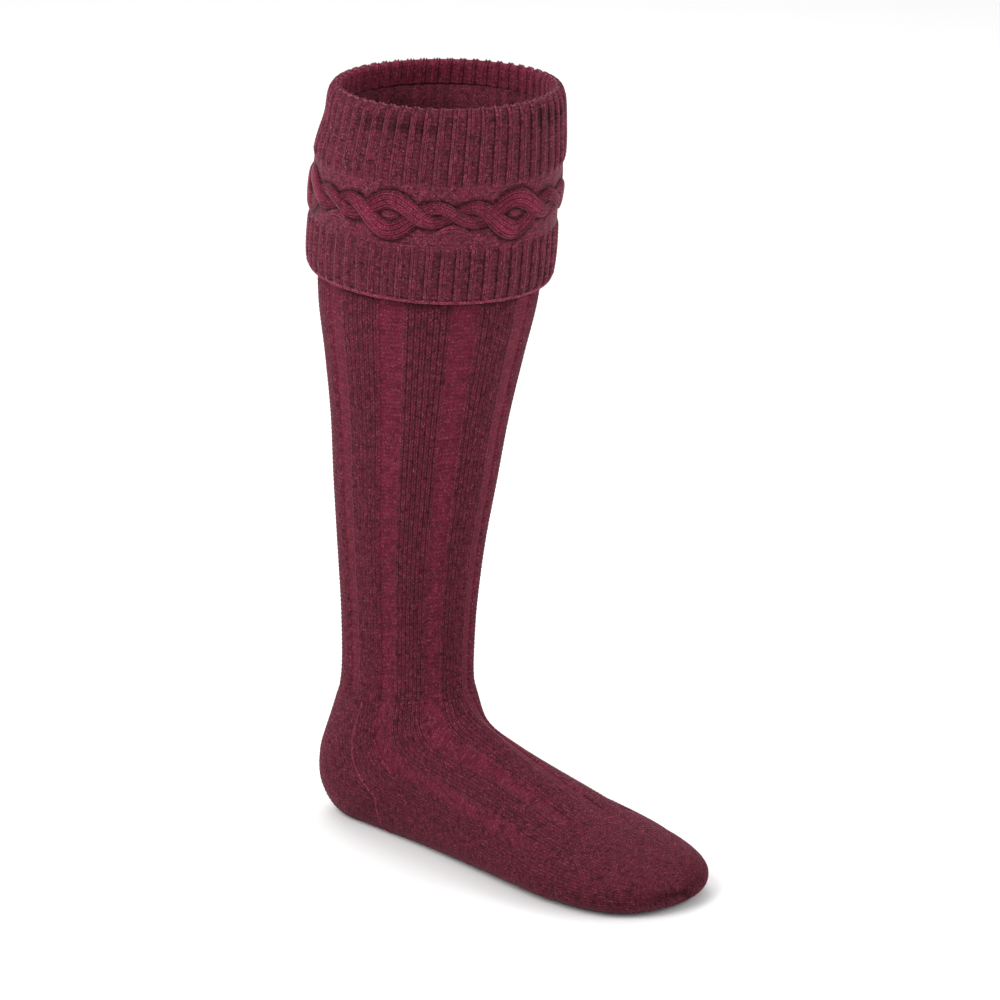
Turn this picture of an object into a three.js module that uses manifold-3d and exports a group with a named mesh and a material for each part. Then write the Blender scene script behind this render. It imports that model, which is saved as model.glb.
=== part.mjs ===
// A knitted kilt hose sock in its worn shape: a turned-down cuff with a cable band between two ribbed
// bands, a leg in wide ribs, and a plain heel, foot and toe. The sock is hollow and open at the top.
// Millimetres, +Z up, toes towards -Y. The origin is on the inside of the sole, under the ankle.
import * as THREE from "three";
import { mergeVertices } from "three/addons/utils/BufferGeometryUtils.js";
import Module from "manifold-3d";

// Fabric
const WALL = 2.5; // knitted wall of the leg and foot
const CUFF_WALL = 2.5; // knitted wall of the turned-down layer, measured under its ribs
const SEAM_GAP = 0.3; // between two pieces that are knitted on to each other
const LAYER_EASE = 0.9; // least room between the leg and the layer turned down over it

// Leg, outside sizes
const SOCK_HEIGHT = 437; // inside of the sole to the top of the fold
const CALF_WIDTH = 124;
const CALF_DEPTH = 130;
const ANKLE_HEIGHT = 90; // inside of the sole to the narrowest section
const ANKLE_WIDTH = 66;
const ANKLE_DEPTH = 81;
const SHIN_LEAN = 33; // how far the top of the leg stands forward of the ankle

// Foot, outside sizes
const TOE_REACH = 218; // ankle axis to toe tip
const HEEL_REACH = 60; // ankle axis to the back of the heel
const HEEL_WIDTH = 70;
const BALL_WIDTH = 98;
const TOE_LENGTH = 52; // knitted toe cap

// Wide ribs of the leg: raised panels between narrow sunk channels
const PANELS = 9;
const PANEL_TURN = -0.14; // how far the ribs sit turned round the leg, of a panel and channel together
const CHANNEL_DEPTH = 0.9;
const CHANNEL_SHARE = 0.22; // of a panel and channel together
const CHANNEL_SLOPE_SHARE = 0.035; // each side of a channel, of a panel and channel together
const PANEL_CROWN = 0.4; // how far the middle of a panel stands above its edges

// Turned-down cuff
const CUFF_DROP = 107; // top of the fold to the hem
const CUFF_STAND = 7.2; // outer face of the cuff from the leg inside it, at its fullest
const LIP_DROP = 14; // how far the fold reaches down inside, to where the leg is knitted on
const CUFF_RIBS = 52;
const CUFF_RIB_RISE = 1.3; // crest above groove
const HEM_TILT = 9; // how much lower the hem hangs in front than at the back
const CABLE_MOTIFS = 6; // each a long opening, then a knot with two short openings
const CABLE_TURN = 0.885; // motifs from the front, round past +X, to the middle of a long opening
const CABLE_SWING = 8; // a strand's centre from the middle of the band, beside a long opening
const CABLE_KNOT = 1.2; // how tight the knot is: above 1/3 it has three crossings
const CABLE_KNOT_LIFT = 2; // how far the knot sits above the middle of the band
const CABLE_STRAND = 11; // width of a strand
const CABLE_RISE = 2; // a strand above the ground of its band, where it passes on top
const CABLE_UNDER_SHARE = 0.55; // of CABLE_RISE, where it passes underneath

// Leg sections from the ankle up. rise: share of the way from ankle to top. width, depth: share of the
// way from the ankle's size to the calf's. lean: share of SHIN_LEAN.
const LEG_SECTIONS = [
  { rise: 0.0, width: 0.0, depth: 0.0, lean: 0.0 },
  { rise: 0.1, width: 0.06, depth: 0.03, lean: 0.03 },
  { rise: 0.22, width: 0.21, depth: 0.14, lean: 0.1 },
  { rise: 0.33, width: 0.37, depth: 0.3, lean: 0.21 },
  { rise: 0.44, width: 0.52, depth: 0.45, lean: 0.33 },
  { rise: 0.55, width: 0.73, depth: 0.68, lean: 0.45 },
  { rise: 0.64, width: 0.91, depth: 0.9, lean: 0.54 },
  { rise: 0.73, width: 0.98, depth: 0.97, lean: 0.63 },
  { rise: 0.9, width: 1.0, depth: 1.0, lean: 0.85 },
  { rise: 1.0, width: 0.9, depth: 0.9, lean: 1.0 },
];

// Foot sections from the ankle to the toe, each from a point on the instep to a point on the heel or
// sole. frontY: share of the way from the ankle's front to the toe tip. backY: share of HEEL_REACH
// where it is above 0, and of TOE_REACH below 0. frontZ, backZ: share of ANKLE_HEIGHT.
// ankle, heel, ball: shares of those three widths, added. power: how square the sole side is, 2 is round.
const FOOT_SECTIONS = [
  { frontY: 0.008, frontZ: 0.918, backY: 0.73, backZ: 0.8, ankle: 0.5, heel: 0.52, ball: 0, power: 2 },
  { frontY: 0.025, frontZ: 0.857, backY: 0.845, backZ: 0.58, ankle: 0, heel: 1.035, ball: 0, power: 2.1 },
  { frontY: 0.05, frontZ: 0.806, backY: 0.98, backZ: 0.34, ankle: 0, heel: 1.015, ball: 0, power: 2.2 },
  { frontY: 0.081, frontZ: 0.77, backY: 0.965, backZ: 0.11, ankle: 0, heel: 0.957, ball: 0, power: 2.4 },
  { frontY: 0.12, frontZ: 0.735, backY: 0.69, backZ: -0.045, ankle: 0, heel: 0.93, ball: 0, power: 2.7 },
  { frontY: 0.185, frontZ: 0.685, backY: 0.19, backZ: -0.06, ankle: 0, heel: 0.94, ball: 0, power: 3 },
  { frontY: 0.29, frontZ: 0.6, backY: -0.18, backZ: -0.06, ankle: 0, heel: 0.5, ball: 0.4, power: 3 },
  { frontY: 0.591, frontZ: 0.403, backY: -0.6, backZ: -0.06, ankle: 0, heel: 0, ball: 0.99, power: 3 },
  { frontY: 0.709, frontZ: 0.342, backY: -0.727, backZ: -0.06, ankle: 0, heel: 0, ball: 1, power: 3 },
  { frontY: 0.815, frontZ: 0.286, backY: -0.836, backZ: -0.055, ankle: 0, heel: 0, ball: 0.94, power: 2.8 },
  { frontY: 0.905, frontZ: 0.23, backY: -0.927, backZ: -0.04, ankle: 0, heel: 0, ball: 0.775, power: 2.5 },
  { frontY: 0.966, frontZ: 0.168, backY: -0.982, backZ: 0.0, ankle: 0, heel: 0, ball: 0.49, power: 2.2 },
];
const TOE_TIP_RISE = 0.085; // share of ANKLE_HEIGHT
// Where the channels run out, in foot sections: at the heel and sole, and on the instep before the toe.
const SOLE_FADE = { from: 1, to: 3 };
const TOE_FADE = { from: 6, to: 8 };
const INSTEP_EDGE = { from: 0.22, to: 0.26 }; // share of the way round, each side of the front

// Outer face of the cuff from the fold down to the hem. drop: share of CUFF_DROP below the fold's top.
// stand: share of CUFF_STAND. rib, cable: how much of each relief the row has.
const CUFF_OUTSIDE = [
  { drop: 0.0, stand: 0.14, rib: 0.5, cable: 0 },
  { drop: 0.015, stand: 0.44, rib: 0.8, cable: 0 },
  { drop: 0.06, stand: 0.64, rib: 1, cable: 0 },
  { drop: 0.2, stand: 0.74, rib: 1, cable: 0 },
  { drop: 0.375, stand: 0.82, rib: 1, cable: 0 },
  { drop: 0.405, stand: 0.74, rib: 0, cable: 0 },
  { drop: 0.455, stand: 0.7, rib: 0, cable: 1 },
  { drop: 0.505, stand: 0.69, rib: 0, cable: 1 },
  { drop: 0.555, stand: 0.69, rib: 0, cable: 1 },
  { drop: 0.605, stand: 0.69, rib: 0, cable: 1 },
  { drop: 0.655, stand: 0.7, rib: 0, cable: 1 },
  { drop: 0.705, stand: 0.74, rib: 0, cable: 0 },
  { drop: 0.735, stand: 0.82, rib: 1, cable: 0 },
  { drop: 0.86, stand: 0.9, rib: 1, cable: 0 },
  { drop: 0.975, stand: 0.84, rib: 1, cable: 0 },
  { drop: 1.0, stand: 0.7, rib: 0.6, cable: 0 },
];
const CABLE_MIDDLE = 0.555; // share of CUFF_DROP
const CUFF_INSIDE_DROPS = [1, 0.5, 0.16]; // inner face of the turned-down layer, from the hem up
// Soft dents in the cuff. turn: share of the way round from the front, past +X. depth: share of
// CUFF_STAND. dropSpread, turnSpread: how far each reaches down and round, as drop and turn are.
const CUFF_DENTS = [
  { drop: 0.16, turn: 0.63, depth: 0.33, dropSpread: 0.13, turnSpread: 0.1 },
  { drop: 0.62, turn: 0.14, depth: 0.12, dropSpread: 0.2, turnSpread: 0.1 },
  { drop: 0.92, turn: 0.4, depth: 0.14, dropSpread: 0.16, turnSpread: 0.12 },
];
// The fold under its top. dropWalls, outWalls: how many walls down, and out from the leg.
const FOLD_LEG_SIDE = [
  { dropWalls: 1.6, outWalls: -1 },
  { dropWalls: 0.4, outWalls: -0.7 },
];
const FOLD_THICKNESS = 1.4; // cuff walls from the fold's top to the hollow between the layers
// Seams in the side view, each a straight line from one [y, z] to another, as shares of the sizes named.
const LEG_SEAM = { front: 0.9, back: 0.74 }; // heights above the instep and the heel, of ANKLE_HEIGHT
const HEEL_SEAM_SOLE = -0.15; // of HEEL_REACH, where the heel's seam crosses the sole

const SECTION_STEPS = 180; // points on a section before it is divided evenly
const SOLE_LEVEL = -WALL;
const LEG_TOP = SOCK_HEIGHT - LIP_DROP - SEAM_GAP;
const ANKLE_FRONT = ANKLE_DEPTH / 2;

const wasm = await Module();
wasm.setup();

// Smooth value of a column at a place between rows that are sorted by the key column.
function between(rows, key, at, column) {
  const last = rows.length - 2;
  const i = Math.min(last, Math.max(0, rows.findIndex((row, n) => n > 0 && row[key] >= at) - 1));
  const slopeAt = (n) => {
    const a = rows[Math.max(0, n - 1)];
    const b = rows[Math.min(rows.length - 1, n + 1)];
    return (b[column] - a[column]) / (b[key] - a[key]);
  };
  const span = rows[i + 1][key] - rows[i][key];
  const t = (at - rows[i][key]) / span;
  const t2 = t * t;
  const t3 = t2 * t;
  return (
    (2 * t3 - 3 * t2 + 1) * rows[i][column] +
    (t3 - 2 * t2 + t) * span * slopeAt(i) +
    (3 * t2 - 2 * t3) * rows[i + 1][column] +
    (t3 - t2) * span * slopeAt(i + 1)
  );
}

const fade = ({ from, to }, x) => THREE.MathUtils.smoothstep(x, from, to);
const signedPower = (x, power) => Math.sign(x) * Math.abs(x) ** power;

// Points on a section at the given shares of its length, counted from its front round past +X.
// front and back are [y, z]. No point is lower than the sole.
function sectionPoints({ front, back, width, power }, turns) {
  const round = [];
  for (let i = 0; i <= SECTION_STEPS; i++) {
    const angle = (2 * Math.PI * i) / SECTION_STEPS;
    const exponent = 2 / (Math.cos(angle) > 0 ? 2 : power);
    const along = signedPower(Math.cos(angle), exponent);
    const y = (front[0] + back[0]) / 2 + (along * (front[0] - back[0])) / 2;
    const z = (front[1] + back[1]) / 2 + (along * (front[1] - back[1])) / 2;
    const x = (width / 2) * signedPower(Math.sin(angle), exponent);
    round.push(new THREE.Vector3(x, y, Math.max(z, SOLE_LEVEL)));
  }
  const lengths = [0];
  for (let i = 1; i < round.length; i++) lengths.push(lengths[i - 1] + round[i].distanceTo(round[i - 1]));
  const total = lengths[SECTION_STEPS];
  return turns.map((turn) => {
    const target = (turn - Math.floor(turn)) * total;
    const i = Math.max(1, lengths.findIndex((length) => length >= target));
    const t = (target - lengths[i - 1]) / (lengths[i] - lengths[i - 1]);
    return round[i - 1].clone().lerp(round[i], t);
  });
}

// The leg's level section at a height.
function legSection(z) {
  const rise = (z - ANKLE_HEIGHT) / (SOCK_HEIGHT - ANKLE_HEIGHT);
  const value = (column) => between(LEG_SECTIONS, "rise", rise, column);
  const depth = ANKLE_DEPTH + value("depth") * (CALF_DEPTH - ANKLE_DEPTH);
  const centre = -value("lean") * SHIN_LEAN;
  return {
    front: [centre - depth / 2, z],
    back: [centre + depth / 2, z],
    width: ANKLE_WIDTH + value("width") * (CALF_WIDTH - ANKLE_WIDTH),
    power: 2,
  };
}

// A foot section from its row of shares.
function footSection(row) {
  return {
    front: [-ANKLE_FRONT - row.frontY * (TOE_REACH - ANKLE_FRONT), row.frontZ * ANKLE_HEIGHT],
    back: [row.backY * (row.backY > 0 ? HEEL_REACH : TOE_REACH), row.backZ * ANKLE_HEIGHT],
    width: row.ankle * ANKLE_WIDTH + row.heel * HEEL_WIDTH + row.ball * BALL_WIDTH,
    power: row.power,
  };
}

// Where the leg's columns lie round it, and how far each is sunk or crowned.
function ribColumns() {
  const floor = CHANNEL_SHARE / 2;
  const edge = floor + CHANNEL_SLOPE_SHARE;
  const third = (1 - 2 * edge) / 3;
  const profile = [
    { at: -edge, sunk: 0, crown: 0 },
    { at: -floor, sunk: 1, crown: 0 },
    { at: floor, sunk: 1, crown: 0 },
    { at: edge, sunk: 0, crown: 0 },
    { at: edge + third, sunk: 0, crown: 1 },
    { at: edge + 2 * third, sunk: 0, crown: 1 },
  ];
  const columns = [];
  for (let panel = 0; panel < PANELS; panel++)
    for (const { at, sunk, crown } of profile)
      columns.push({ turn: (panel + 0.5 + PANEL_TURN + at) / PANELS, sunk, crown });
  return columns;
}

// How deep the channels are at a foot section and a turn, as a share of their depth.
function channelShare(footIndex, turn) {
  const sole = fade(SOLE_FADE, footIndex) * fade(INSTEP_EDGE, Math.min(turn, 1 - turn));
  return (1 - sole) * (1 - fade(TOE_FADE, footIndex));
}

// Outward directions on a grid of points, worked out from each point's neighbours.
function gridNormals(rows) {
  const columns = rows[0].length;
  return rows.map((row, i) =>
    row.map((_, j) => {
      const down = rows[Math.min(i + 1, rows.length - 1)][j].clone().sub(rows[Math.max(i - 1, 0)][j]);
      const round = row[(j + 1) % columns].clone().sub(row[(j + columns - 1) % columns]);
      return round.cross(down).negate().normalize();
    }),
  );
}

// A closed solid from a position-only geometry.
function solidFrom(geometry) {
  geometry.deleteAttribute("normal");
  geometry.deleteAttribute("uv");
  const merged = mergeVertices(geometry, 1e-4);
  return new wasm.Manifold(
    new wasm.Mesh({
      numProp: 3,
      vertProperties: merged.attributes.position.array,
      triVerts: new Uint32Array(merged.index.array),
    }),
  );
}

// Geometry from points and triangles given by their numbers.
function geometryFrom(points, faces) {
  const geometry = new THREE.BufferGeometry();
  geometry.setAttribute("position", new THREE.Float32BufferAttribute(points.flatMap((p) => p.toArray()), 3));
  geometry.setIndex(faces.flat());
  return geometry;
}

// Two triangles for each cell of a grid whose rows are rings of points. Rows may also close on the first.
function ringFaces(rowCount, columnCount, closed) {
  const faces = [];
  for (let i = 0; i < rowCount - (closed ? 0 : 1); i++)
    for (let j = 0; j < columnCount; j++) {
      const a = i * columnCount + j;
      const b = i * columnCount + ((j + 1) % columnCount);
      const c = ((i + 1) % rowCount) * columnCount + j;
      const d = ((i + 1) % rowCount) * columnCount + ((j + 1) % columnCount);
      faces.push([a, c, b], [b, c, d]);
    }
  return faces;
}

// The whole stocking below the fold, as one hollow solid: outside from the leg's top to the toe tip,
// then inside back up, and the top rim between them.
function stockingShell() {
  const columns = ribColumns();
  const turns = columns.map((column) => column.turn);
  const legHeights = LEG_SECTIONS.map((row) => ANKLE_HEIGHT + row.rise * (SOCK_HEIGHT - ANKLE_HEIGHT))
    .filter((z) => z < LEG_TOP - WALL)
    .concat(LEG_TOP)
    .reverse();
  const sections = [...legHeights.map(legSection), ...FOOT_SECTIONS.map(footSection)];
  const base = sections.map((section) => sectionPoints(section, turns));
  const normals = gridNormals(base);
  const outside = base.map((row, i) =>
    row.map((point, j) => {
      const share = channelShare(i - legHeights.length, turns[j]);
      const relief = share * (columns[j].crown * PANEL_CROWN - columns[j].sunk * CHANNEL_DEPTH);
      return point.clone().addScaledVector(normals[i][j], relief);
    }),
  );
  const inside = base.map((row, i) =>
    row.map((point, j) => point.clone().addScaledVector(normals[i][j], -WALL)),
  );
  inside[0].forEach((point) => (point.z = LEG_TOP));
  outside[0].forEach((point) => (point.z = LEG_TOP));
  const rows = [...inside.reverse(), ...outside];
  const points = rows.flat();
  const faces = ringFaces(rows.length, turns.length, false);
  const tipHeight = TOE_TIP_RISE * ANKLE_HEIGHT;
  const tips = [WALL - TOE_REACH, -TOE_REACH].map((y) => new THREE.Vector3(0, y, tipHeight));
  const [innerTip, outerTip] = [points.length, points.length + 1];
  const lastRow = (rows.length - 1) * turns.length;
  turns.forEach((_, j) => {
    const next = (j + 1) % turns.length;
    faces.push([innerTip, j, next], [outerTip, lastRow + next, lastRow + j]);
  });
  return solidFrom(geometryFrom([...points, ...tips], faces));
}

// How far the cable stands above the ground of its band. Two strands swing across each other, three
// times in each motif, and take turns to pass on top.
function cableRelief(turn, offset) {
  const phase = Math.PI * (CABLE_MOTIFS * turn - CABLE_TURN);
  const swing = (Math.cos(phase) + CABLE_KNOT * Math.cos(3 * phase)) / (1 + CABLE_KNOT);
  const slope = (Math.sin(phase) + 3 * CABLE_KNOT * Math.sin(3 * phase)) / (1 + 3 * CABLE_KNOT);
  const middle = CABLE_KNOT_LIFT * Math.sin(phase) ** 2;
  const strands = [1, -1].map((side) => {
    const across = (offset - middle - side * CABLE_SWING * swing) / (CABLE_STRAND / 2);
    const height = THREE.MathUtils.lerp(CABLE_UNDER_SHARE, 1, (1 + side * slope) / 2);
    return Math.abs(across) < 1 ? height * Math.sqrt(1 - across * across) : 0;
  });
  return CABLE_RISE * Math.max(...strands);
}

// How far the dents sink the cuff's outer layer.
function dentDepth(drop, turn) {
  return CUFF_DENTS.reduce((sum, dent) => {
    const aside = Math.abs(turn - dent.turn);
    const round = Math.min(aside, 1 - aside) / dent.turnSpread;
    const along = (drop - dent.drop) / dent.dropSpread;
    return sum + dent.depth * CUFF_STAND * Math.exp(-round * round - along * along);
  }, 0);
}

// The cuff: down the outer layer from the fold to the hem, up its inner face, down to the lip that the
// leg hangs from, and up to the fold again. Each entry has its drop and its distance out from the leg.
function cuffProfile(turn, crest) {
  const rib = ((crest ? 1 : -1) * CUFF_RIB_RISE) / 2;
  const outside = CUFF_OUTSIDE.map((row) => {
    const relief = row.rib * rib + row.cable * cableRelief(turn, (CABLE_MIDDLE - row.drop) * CUFF_DROP);
    return { drop: row.drop * CUFF_DROP, out: row.stand * CUFF_STAND - dentDepth(row.drop, turn) + relief };
  });
  const inside = CUFF_INSIDE_DROPS.map((drop) => {
    const stand = between(CUFF_OUTSIDE, "drop", drop, "stand") * CUFF_STAND;
    const out = stand - dentDepth(drop, turn) - CUFF_WALL - CUFF_RIB_RISE / 2;
    return { drop: drop * CUFF_DROP, out: Math.max(LAYER_EASE, out) };
  });
  const lip = [
    { drop: FOLD_THICKNESS * CUFF_WALL, out: 0 },
    { drop: LIP_DROP, out: 0 },
    { drop: LIP_DROP, out: -WALL },
  ];
  const fold = FOLD_LEG_SIDE.map((row) => ({ drop: row.dropWalls * WALL, out: row.outWalls * WALL }));
  return [...outside, ...inside, ...lip, ...fold];
}

function cuffSolid() {
  const columnCount = 2 * CUFF_RIBS;
  const turns = Array.from({ length: columnCount }, (_, j) => (j + 0.5) / columnCount);
  const profiles = turns.map((turn, j) => cuffProfile(turn, j % 2 === 0));
  const rows = profiles[0].map((_, i) => {
    const ring = sectionPoints(legSection(SOCK_HEIGHT - profiles[0][i].drop), turns);
    return ring.map((point, j) => {
      const round = ring[(j + 1) % columnCount].clone().sub(ring[(j + columnCount - 1) % columnCount]);
      const out = new THREE.Vector3(round.y, -round.x, 0).normalize();
      const hanging = Math.max(0, profiles[j][i].drop - LIP_DROP) / (CUFF_DROP - LIP_DROP);
      const moved = point.clone().addScaledVector(out, profiles[j][i].out);
      return moved.setZ(point.z - hanging * (HEM_TILT / 2) * Math.cos(2 * Math.PI * turns[j]));
    });
  });
  return solidFrom(geometryFrom(rows.flat(), ringFaces(rows.length, columnCount, true)));
}

// The parts of a solid behind and before a straight seam in the side view, half a gap from it each.
// From its first point to its second the seam has the part behind it on its left, seen from +X.
function split(solid, [y0, z0], [y1, z1]) {
  const normal = new THREE.Vector3(0, z0 - z1, y1 - y0).normalize();
  const offset = normal.y * y0 + normal.z * z0;
  return [
    solid.trimByPlane(normal.toArray(), offset + SEAM_GAP / 2),
    solid.trimByPlane(normal.clone().negate().toArray(), SEAM_GAP / 2 - offset),
  ];
}

// A named mesh in wool of one colour.
function woolMesh(name, solid, color) {
  const { vertProperties, triVerts } = solid.getMesh();
  const geometry = new THREE.BufferGeometry();
  geometry.setAttribute("position", new THREE.Float32BufferAttribute([...vertProperties], 3));
  geometry.setIndex([...triVerts]);
  geometry.computeVertexNormals();
  const wool = new THREE.MeshStandardMaterial({ color, metalness: 0, roughness: 0.95 });
  const mesh = new THREE.Mesh(geometry, wool);
  mesh.name = name;
  return mesh;
}

const BURGUNDY = 0x6b2a3a;
const CUFF_BURGUNDY = 0x702f40;

const stocking = stockingShell();
const [leg, ankleAndFoot] = split(
  stocking,
  [-ANKLE_FRONT, LEG_SEAM.front * ANKLE_HEIGHT],
  [HEEL_REACH, LEG_SEAM.back * ANKLE_HEIGHT],
);
const [heel, footAndToe] = split(ankleAndFoot, [0, ANKLE_HEIGHT], [HEEL_SEAM_SOLE * HEEL_REACH, 0]);
const [foot, toe] = split(footAndToe, [TOE_LENGTH - TOE_REACH, ANKLE_HEIGHT], [TOE_LENGTH - TOE_REACH, 0]);

const sock = new THREE.Group();
sock.add(
  woolMesh("turnover_cuff", cuffSolid(), CUFF_BURGUNDY),
  woolMesh("leg", leg, BURGUNDY),
  woolMesh("heel", heel, BURGUNDY),
  woolMesh("foot", foot, BURGUNDY),
  woolMesh("toe", toe, BURGUNDY),
);
export default sock;
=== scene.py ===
"""A knitted kilt hose sock in its worn shape, in wool with every stitch modelled.

The turned-down cuff, leg, heel, foot and toe are closed shells of knitted fabric. Each is a grid of
stitches laid over the sock's sections, with the cables, edge stitches and loose fibres added on top.
Metres, +Z up, toes towards -Y. A turn is a share of the way round, from the front past +X.
"""

import logging
import math
from dataclasses import dataclass, field
from enum import Enum
from typing import Any, Callable, Sequence

import bmesh
import bpy
import numpy as np
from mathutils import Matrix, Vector


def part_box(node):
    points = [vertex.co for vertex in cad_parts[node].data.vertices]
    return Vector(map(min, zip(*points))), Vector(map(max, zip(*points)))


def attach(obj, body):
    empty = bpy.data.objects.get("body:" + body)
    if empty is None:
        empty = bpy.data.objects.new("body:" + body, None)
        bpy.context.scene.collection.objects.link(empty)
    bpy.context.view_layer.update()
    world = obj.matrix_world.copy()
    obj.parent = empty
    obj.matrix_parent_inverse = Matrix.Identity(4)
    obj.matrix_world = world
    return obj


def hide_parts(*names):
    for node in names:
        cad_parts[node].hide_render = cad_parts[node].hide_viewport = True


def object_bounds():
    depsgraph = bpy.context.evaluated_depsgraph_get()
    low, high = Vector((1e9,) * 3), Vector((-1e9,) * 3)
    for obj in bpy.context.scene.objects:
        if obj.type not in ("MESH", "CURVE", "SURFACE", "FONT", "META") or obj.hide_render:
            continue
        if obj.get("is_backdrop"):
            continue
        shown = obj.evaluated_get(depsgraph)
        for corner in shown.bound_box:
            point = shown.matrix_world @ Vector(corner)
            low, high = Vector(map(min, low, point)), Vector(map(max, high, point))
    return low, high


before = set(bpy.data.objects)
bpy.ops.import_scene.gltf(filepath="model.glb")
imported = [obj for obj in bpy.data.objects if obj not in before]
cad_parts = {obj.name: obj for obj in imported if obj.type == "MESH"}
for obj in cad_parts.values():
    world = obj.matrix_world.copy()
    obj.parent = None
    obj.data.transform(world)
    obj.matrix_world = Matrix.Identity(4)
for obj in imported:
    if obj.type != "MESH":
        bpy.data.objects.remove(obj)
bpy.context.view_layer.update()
log = logging.getLogger("kilt_hose")

MM = 0.001
BODY = "root"
# Painted shade on the plain insides, as dark as fabric lying that deep between the stitches.
LINING_PAINTED_SHADE = 0.5

# Leg sections from the ankle up. rise: share of the way from ankle to top. width, depth: share of the
# way from the ankle's size to the calf's. lean: share of the shin's lean.
LEG_COLUMNS = ("rise", "width", "depth", "lean")
LEG_SECTIONS = (
    (0.0, 0.0, 0.0, 0.0),
    (0.1, 0.06, 0.03, 0.03),
    (0.22, 0.21, 0.14, 0.1),
    (0.33, 0.37, 0.3, 0.21),
    (0.44, 0.52, 0.45, 0.33),
    (0.55, 0.73, 0.68, 0.45),
    (0.64, 0.91, 0.9, 0.54),
    (0.73, 0.98, 0.97, 0.63),
    (0.9, 1.0, 1.0, 0.85),
    (1.0, 0.9, 0.9, 1.0),
)

# Foot sections from the ankle to the toe, each from a point on the instep to one on the heel or sole.
# front_y: share of the way from the ankle's front to the toe tip. back_y: share of the heel's reach
# above 0, of the toe's below 0. front_z, back_z: share of the ankle's height. ankle, heel, ball: shares
# of those three widths, added. power: how square the sole side is, 2 is round.
FOOT_COLUMNS = ("front_y", "front_z", "back_y", "back_z", "ankle", "heel", "ball", "power")
FOOT_SECTIONS = (
    (0.008, 0.918, 0.73, 0.8, 0.5, 0.52, 0.0, 2.0),
    (0.025, 0.857, 0.845, 0.58, 0.0, 1.035, 0.0, 2.1),
    (0.05, 0.806, 0.98, 0.34, 0.0, 1.015, 0.0, 2.2),
    (0.081, 0.77, 0.965, 0.11, 0.0, 0.957, 0.0, 2.4),
    (0.12, 0.735, 0.69, -0.045, 0.0, 0.93, 0.0, 2.7),
    (0.185, 0.685, 0.19, -0.06, 0.0, 0.94, 0.0, 3.0),
    (0.29, 0.6, -0.18, -0.06, 0.0, 0.5, 0.4, 3.0),
    (0.591, 0.403, -0.6, -0.06, 0.0, 0.0, 0.99, 3.0),
    (0.709, 0.342, -0.727, -0.06, 0.0, 0.0, 1.0, 3.0),
    (0.815, 0.286, -0.836, -0.055, 0.0, 0.0, 0.94, 2.8),
    (0.905, 0.23, -0.927, -0.04, 0.0, 0.0, 0.775, 2.5),
    (0.966, 0.168, -0.982, 0.0, 0.0, 0.0, 0.49, 2.2),
)

# Outer face of the cuff from the fold down to the hem. drop: share of the cuff's drop. stand: share of
# its stand from the leg. rib: how much of the rib relief the row has.
CUFF_COLUMNS = ("drop", "stand", "rib")
CUFF_OUTSIDE = (
    (0.0, 0.14, 0.5),
    (0.015, 0.44, 0.8),
    (0.06, 0.64, 1.0),
    (0.2, 0.74, 1.0),
    (0.36, 0.82, 1.0),
    (0.395, 0.78, 0.0),
    (0.455, 0.77, 0.0),
    (0.655, 0.78, 0.0),
    (0.71, 0.8, 0.0),
    (0.735, 0.84, 1.0),
    (0.86, 0.9, 1.0),
    (0.975, 0.84, 1.0),
    (1.0, 0.7, 0.6),
)

# The cuff's inside under the fold, as walls out from the leg and walls down from the top.
FOLD_INSIDE = ((-1.0, 1.6), (-0.75, 0.4))
# How much of the rib relief the lip has, from its edge up to the fold.
INSIDE_RIBS = (0.3, 0.4, 0.5)

# Soft dents in the cuff: where each lies, how deep as a share of the stand, and how far it spreads.
DENT_COLUMNS = ("drop", "turn", "depth", "drop_spread", "turn_spread")
CUFF_DENTS = (
    (0.16, 0.63, 0.33, 0.13, 0.1),
    (0.62, 0.14, 0.12, 0.2, 0.1),
    (0.92, 0.4, 0.14, 0.16, 0.12),
)


def column(rows: Sequence[Sequence[float]], names: Sequence[str], name: str) -> np.ndarray:
    """One named column of a table, as an array."""
    return np.array([row[names.index(name)] for row in rows], float)


def smooth_between(key: np.ndarray, values: np.ndarray, at: np.ndarray) -> np.ndarray:
    """Smooth values between the rows of a table.

    Args:
        key: the sorted positions of the rows.
        values: one value for each row.
        at: where to read the table.

    Returns:
        One value for each position in at.
    """
    place = np.asarray(at, float)
    low = np.clip(np.searchsorted(key, place, side="left") - 1, 0, len(key) - 2)
    before, after = np.maximum(low - 1, 0), np.minimum(low + 2, len(key) - 1)
    span = key[low + 1] - key[low]
    slope_low = (values[low + 1] - values[before]) / (key[low + 1] - key[before])
    slope_high = (values[after] - values[low]) / (key[after] - key[low])
    t = (place - key[low]) / span
    t2, t3 = t * t, t * t * t
    return (
        (2 * t3 - 3 * t2 + 1) * values[low]
        + (t3 - 2 * t2 + t) * span * slope_low
        + (3 * t2 - 2 * t3) * values[low + 1]
        + (t3 - t2) * span * slope_high
    )


def smoothstep(low: float, high: float, x: np.ndarray) -> np.ndarray:
    """A soft ramp from 0 at low to 1 at high."""
    t = np.clip((np.asarray(x, float) - low) / (high - low), 0.0, 1.0)
    return t * t * (3 - 2 * t)


def signed_power(x: np.ndarray, power: np.ndarray) -> np.ndarray:
    """A power of the size of x that keeps its sign."""
    return np.sign(x) * np.abs(x) ** power


def unit(vectors: np.ndarray) -> np.ndarray:
    """Vectors of length 1 along the last axis."""
    return vectors / np.maximum(np.linalg.norm(vectors, axis=-1, keepdims=True), 1e-12)


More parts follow.
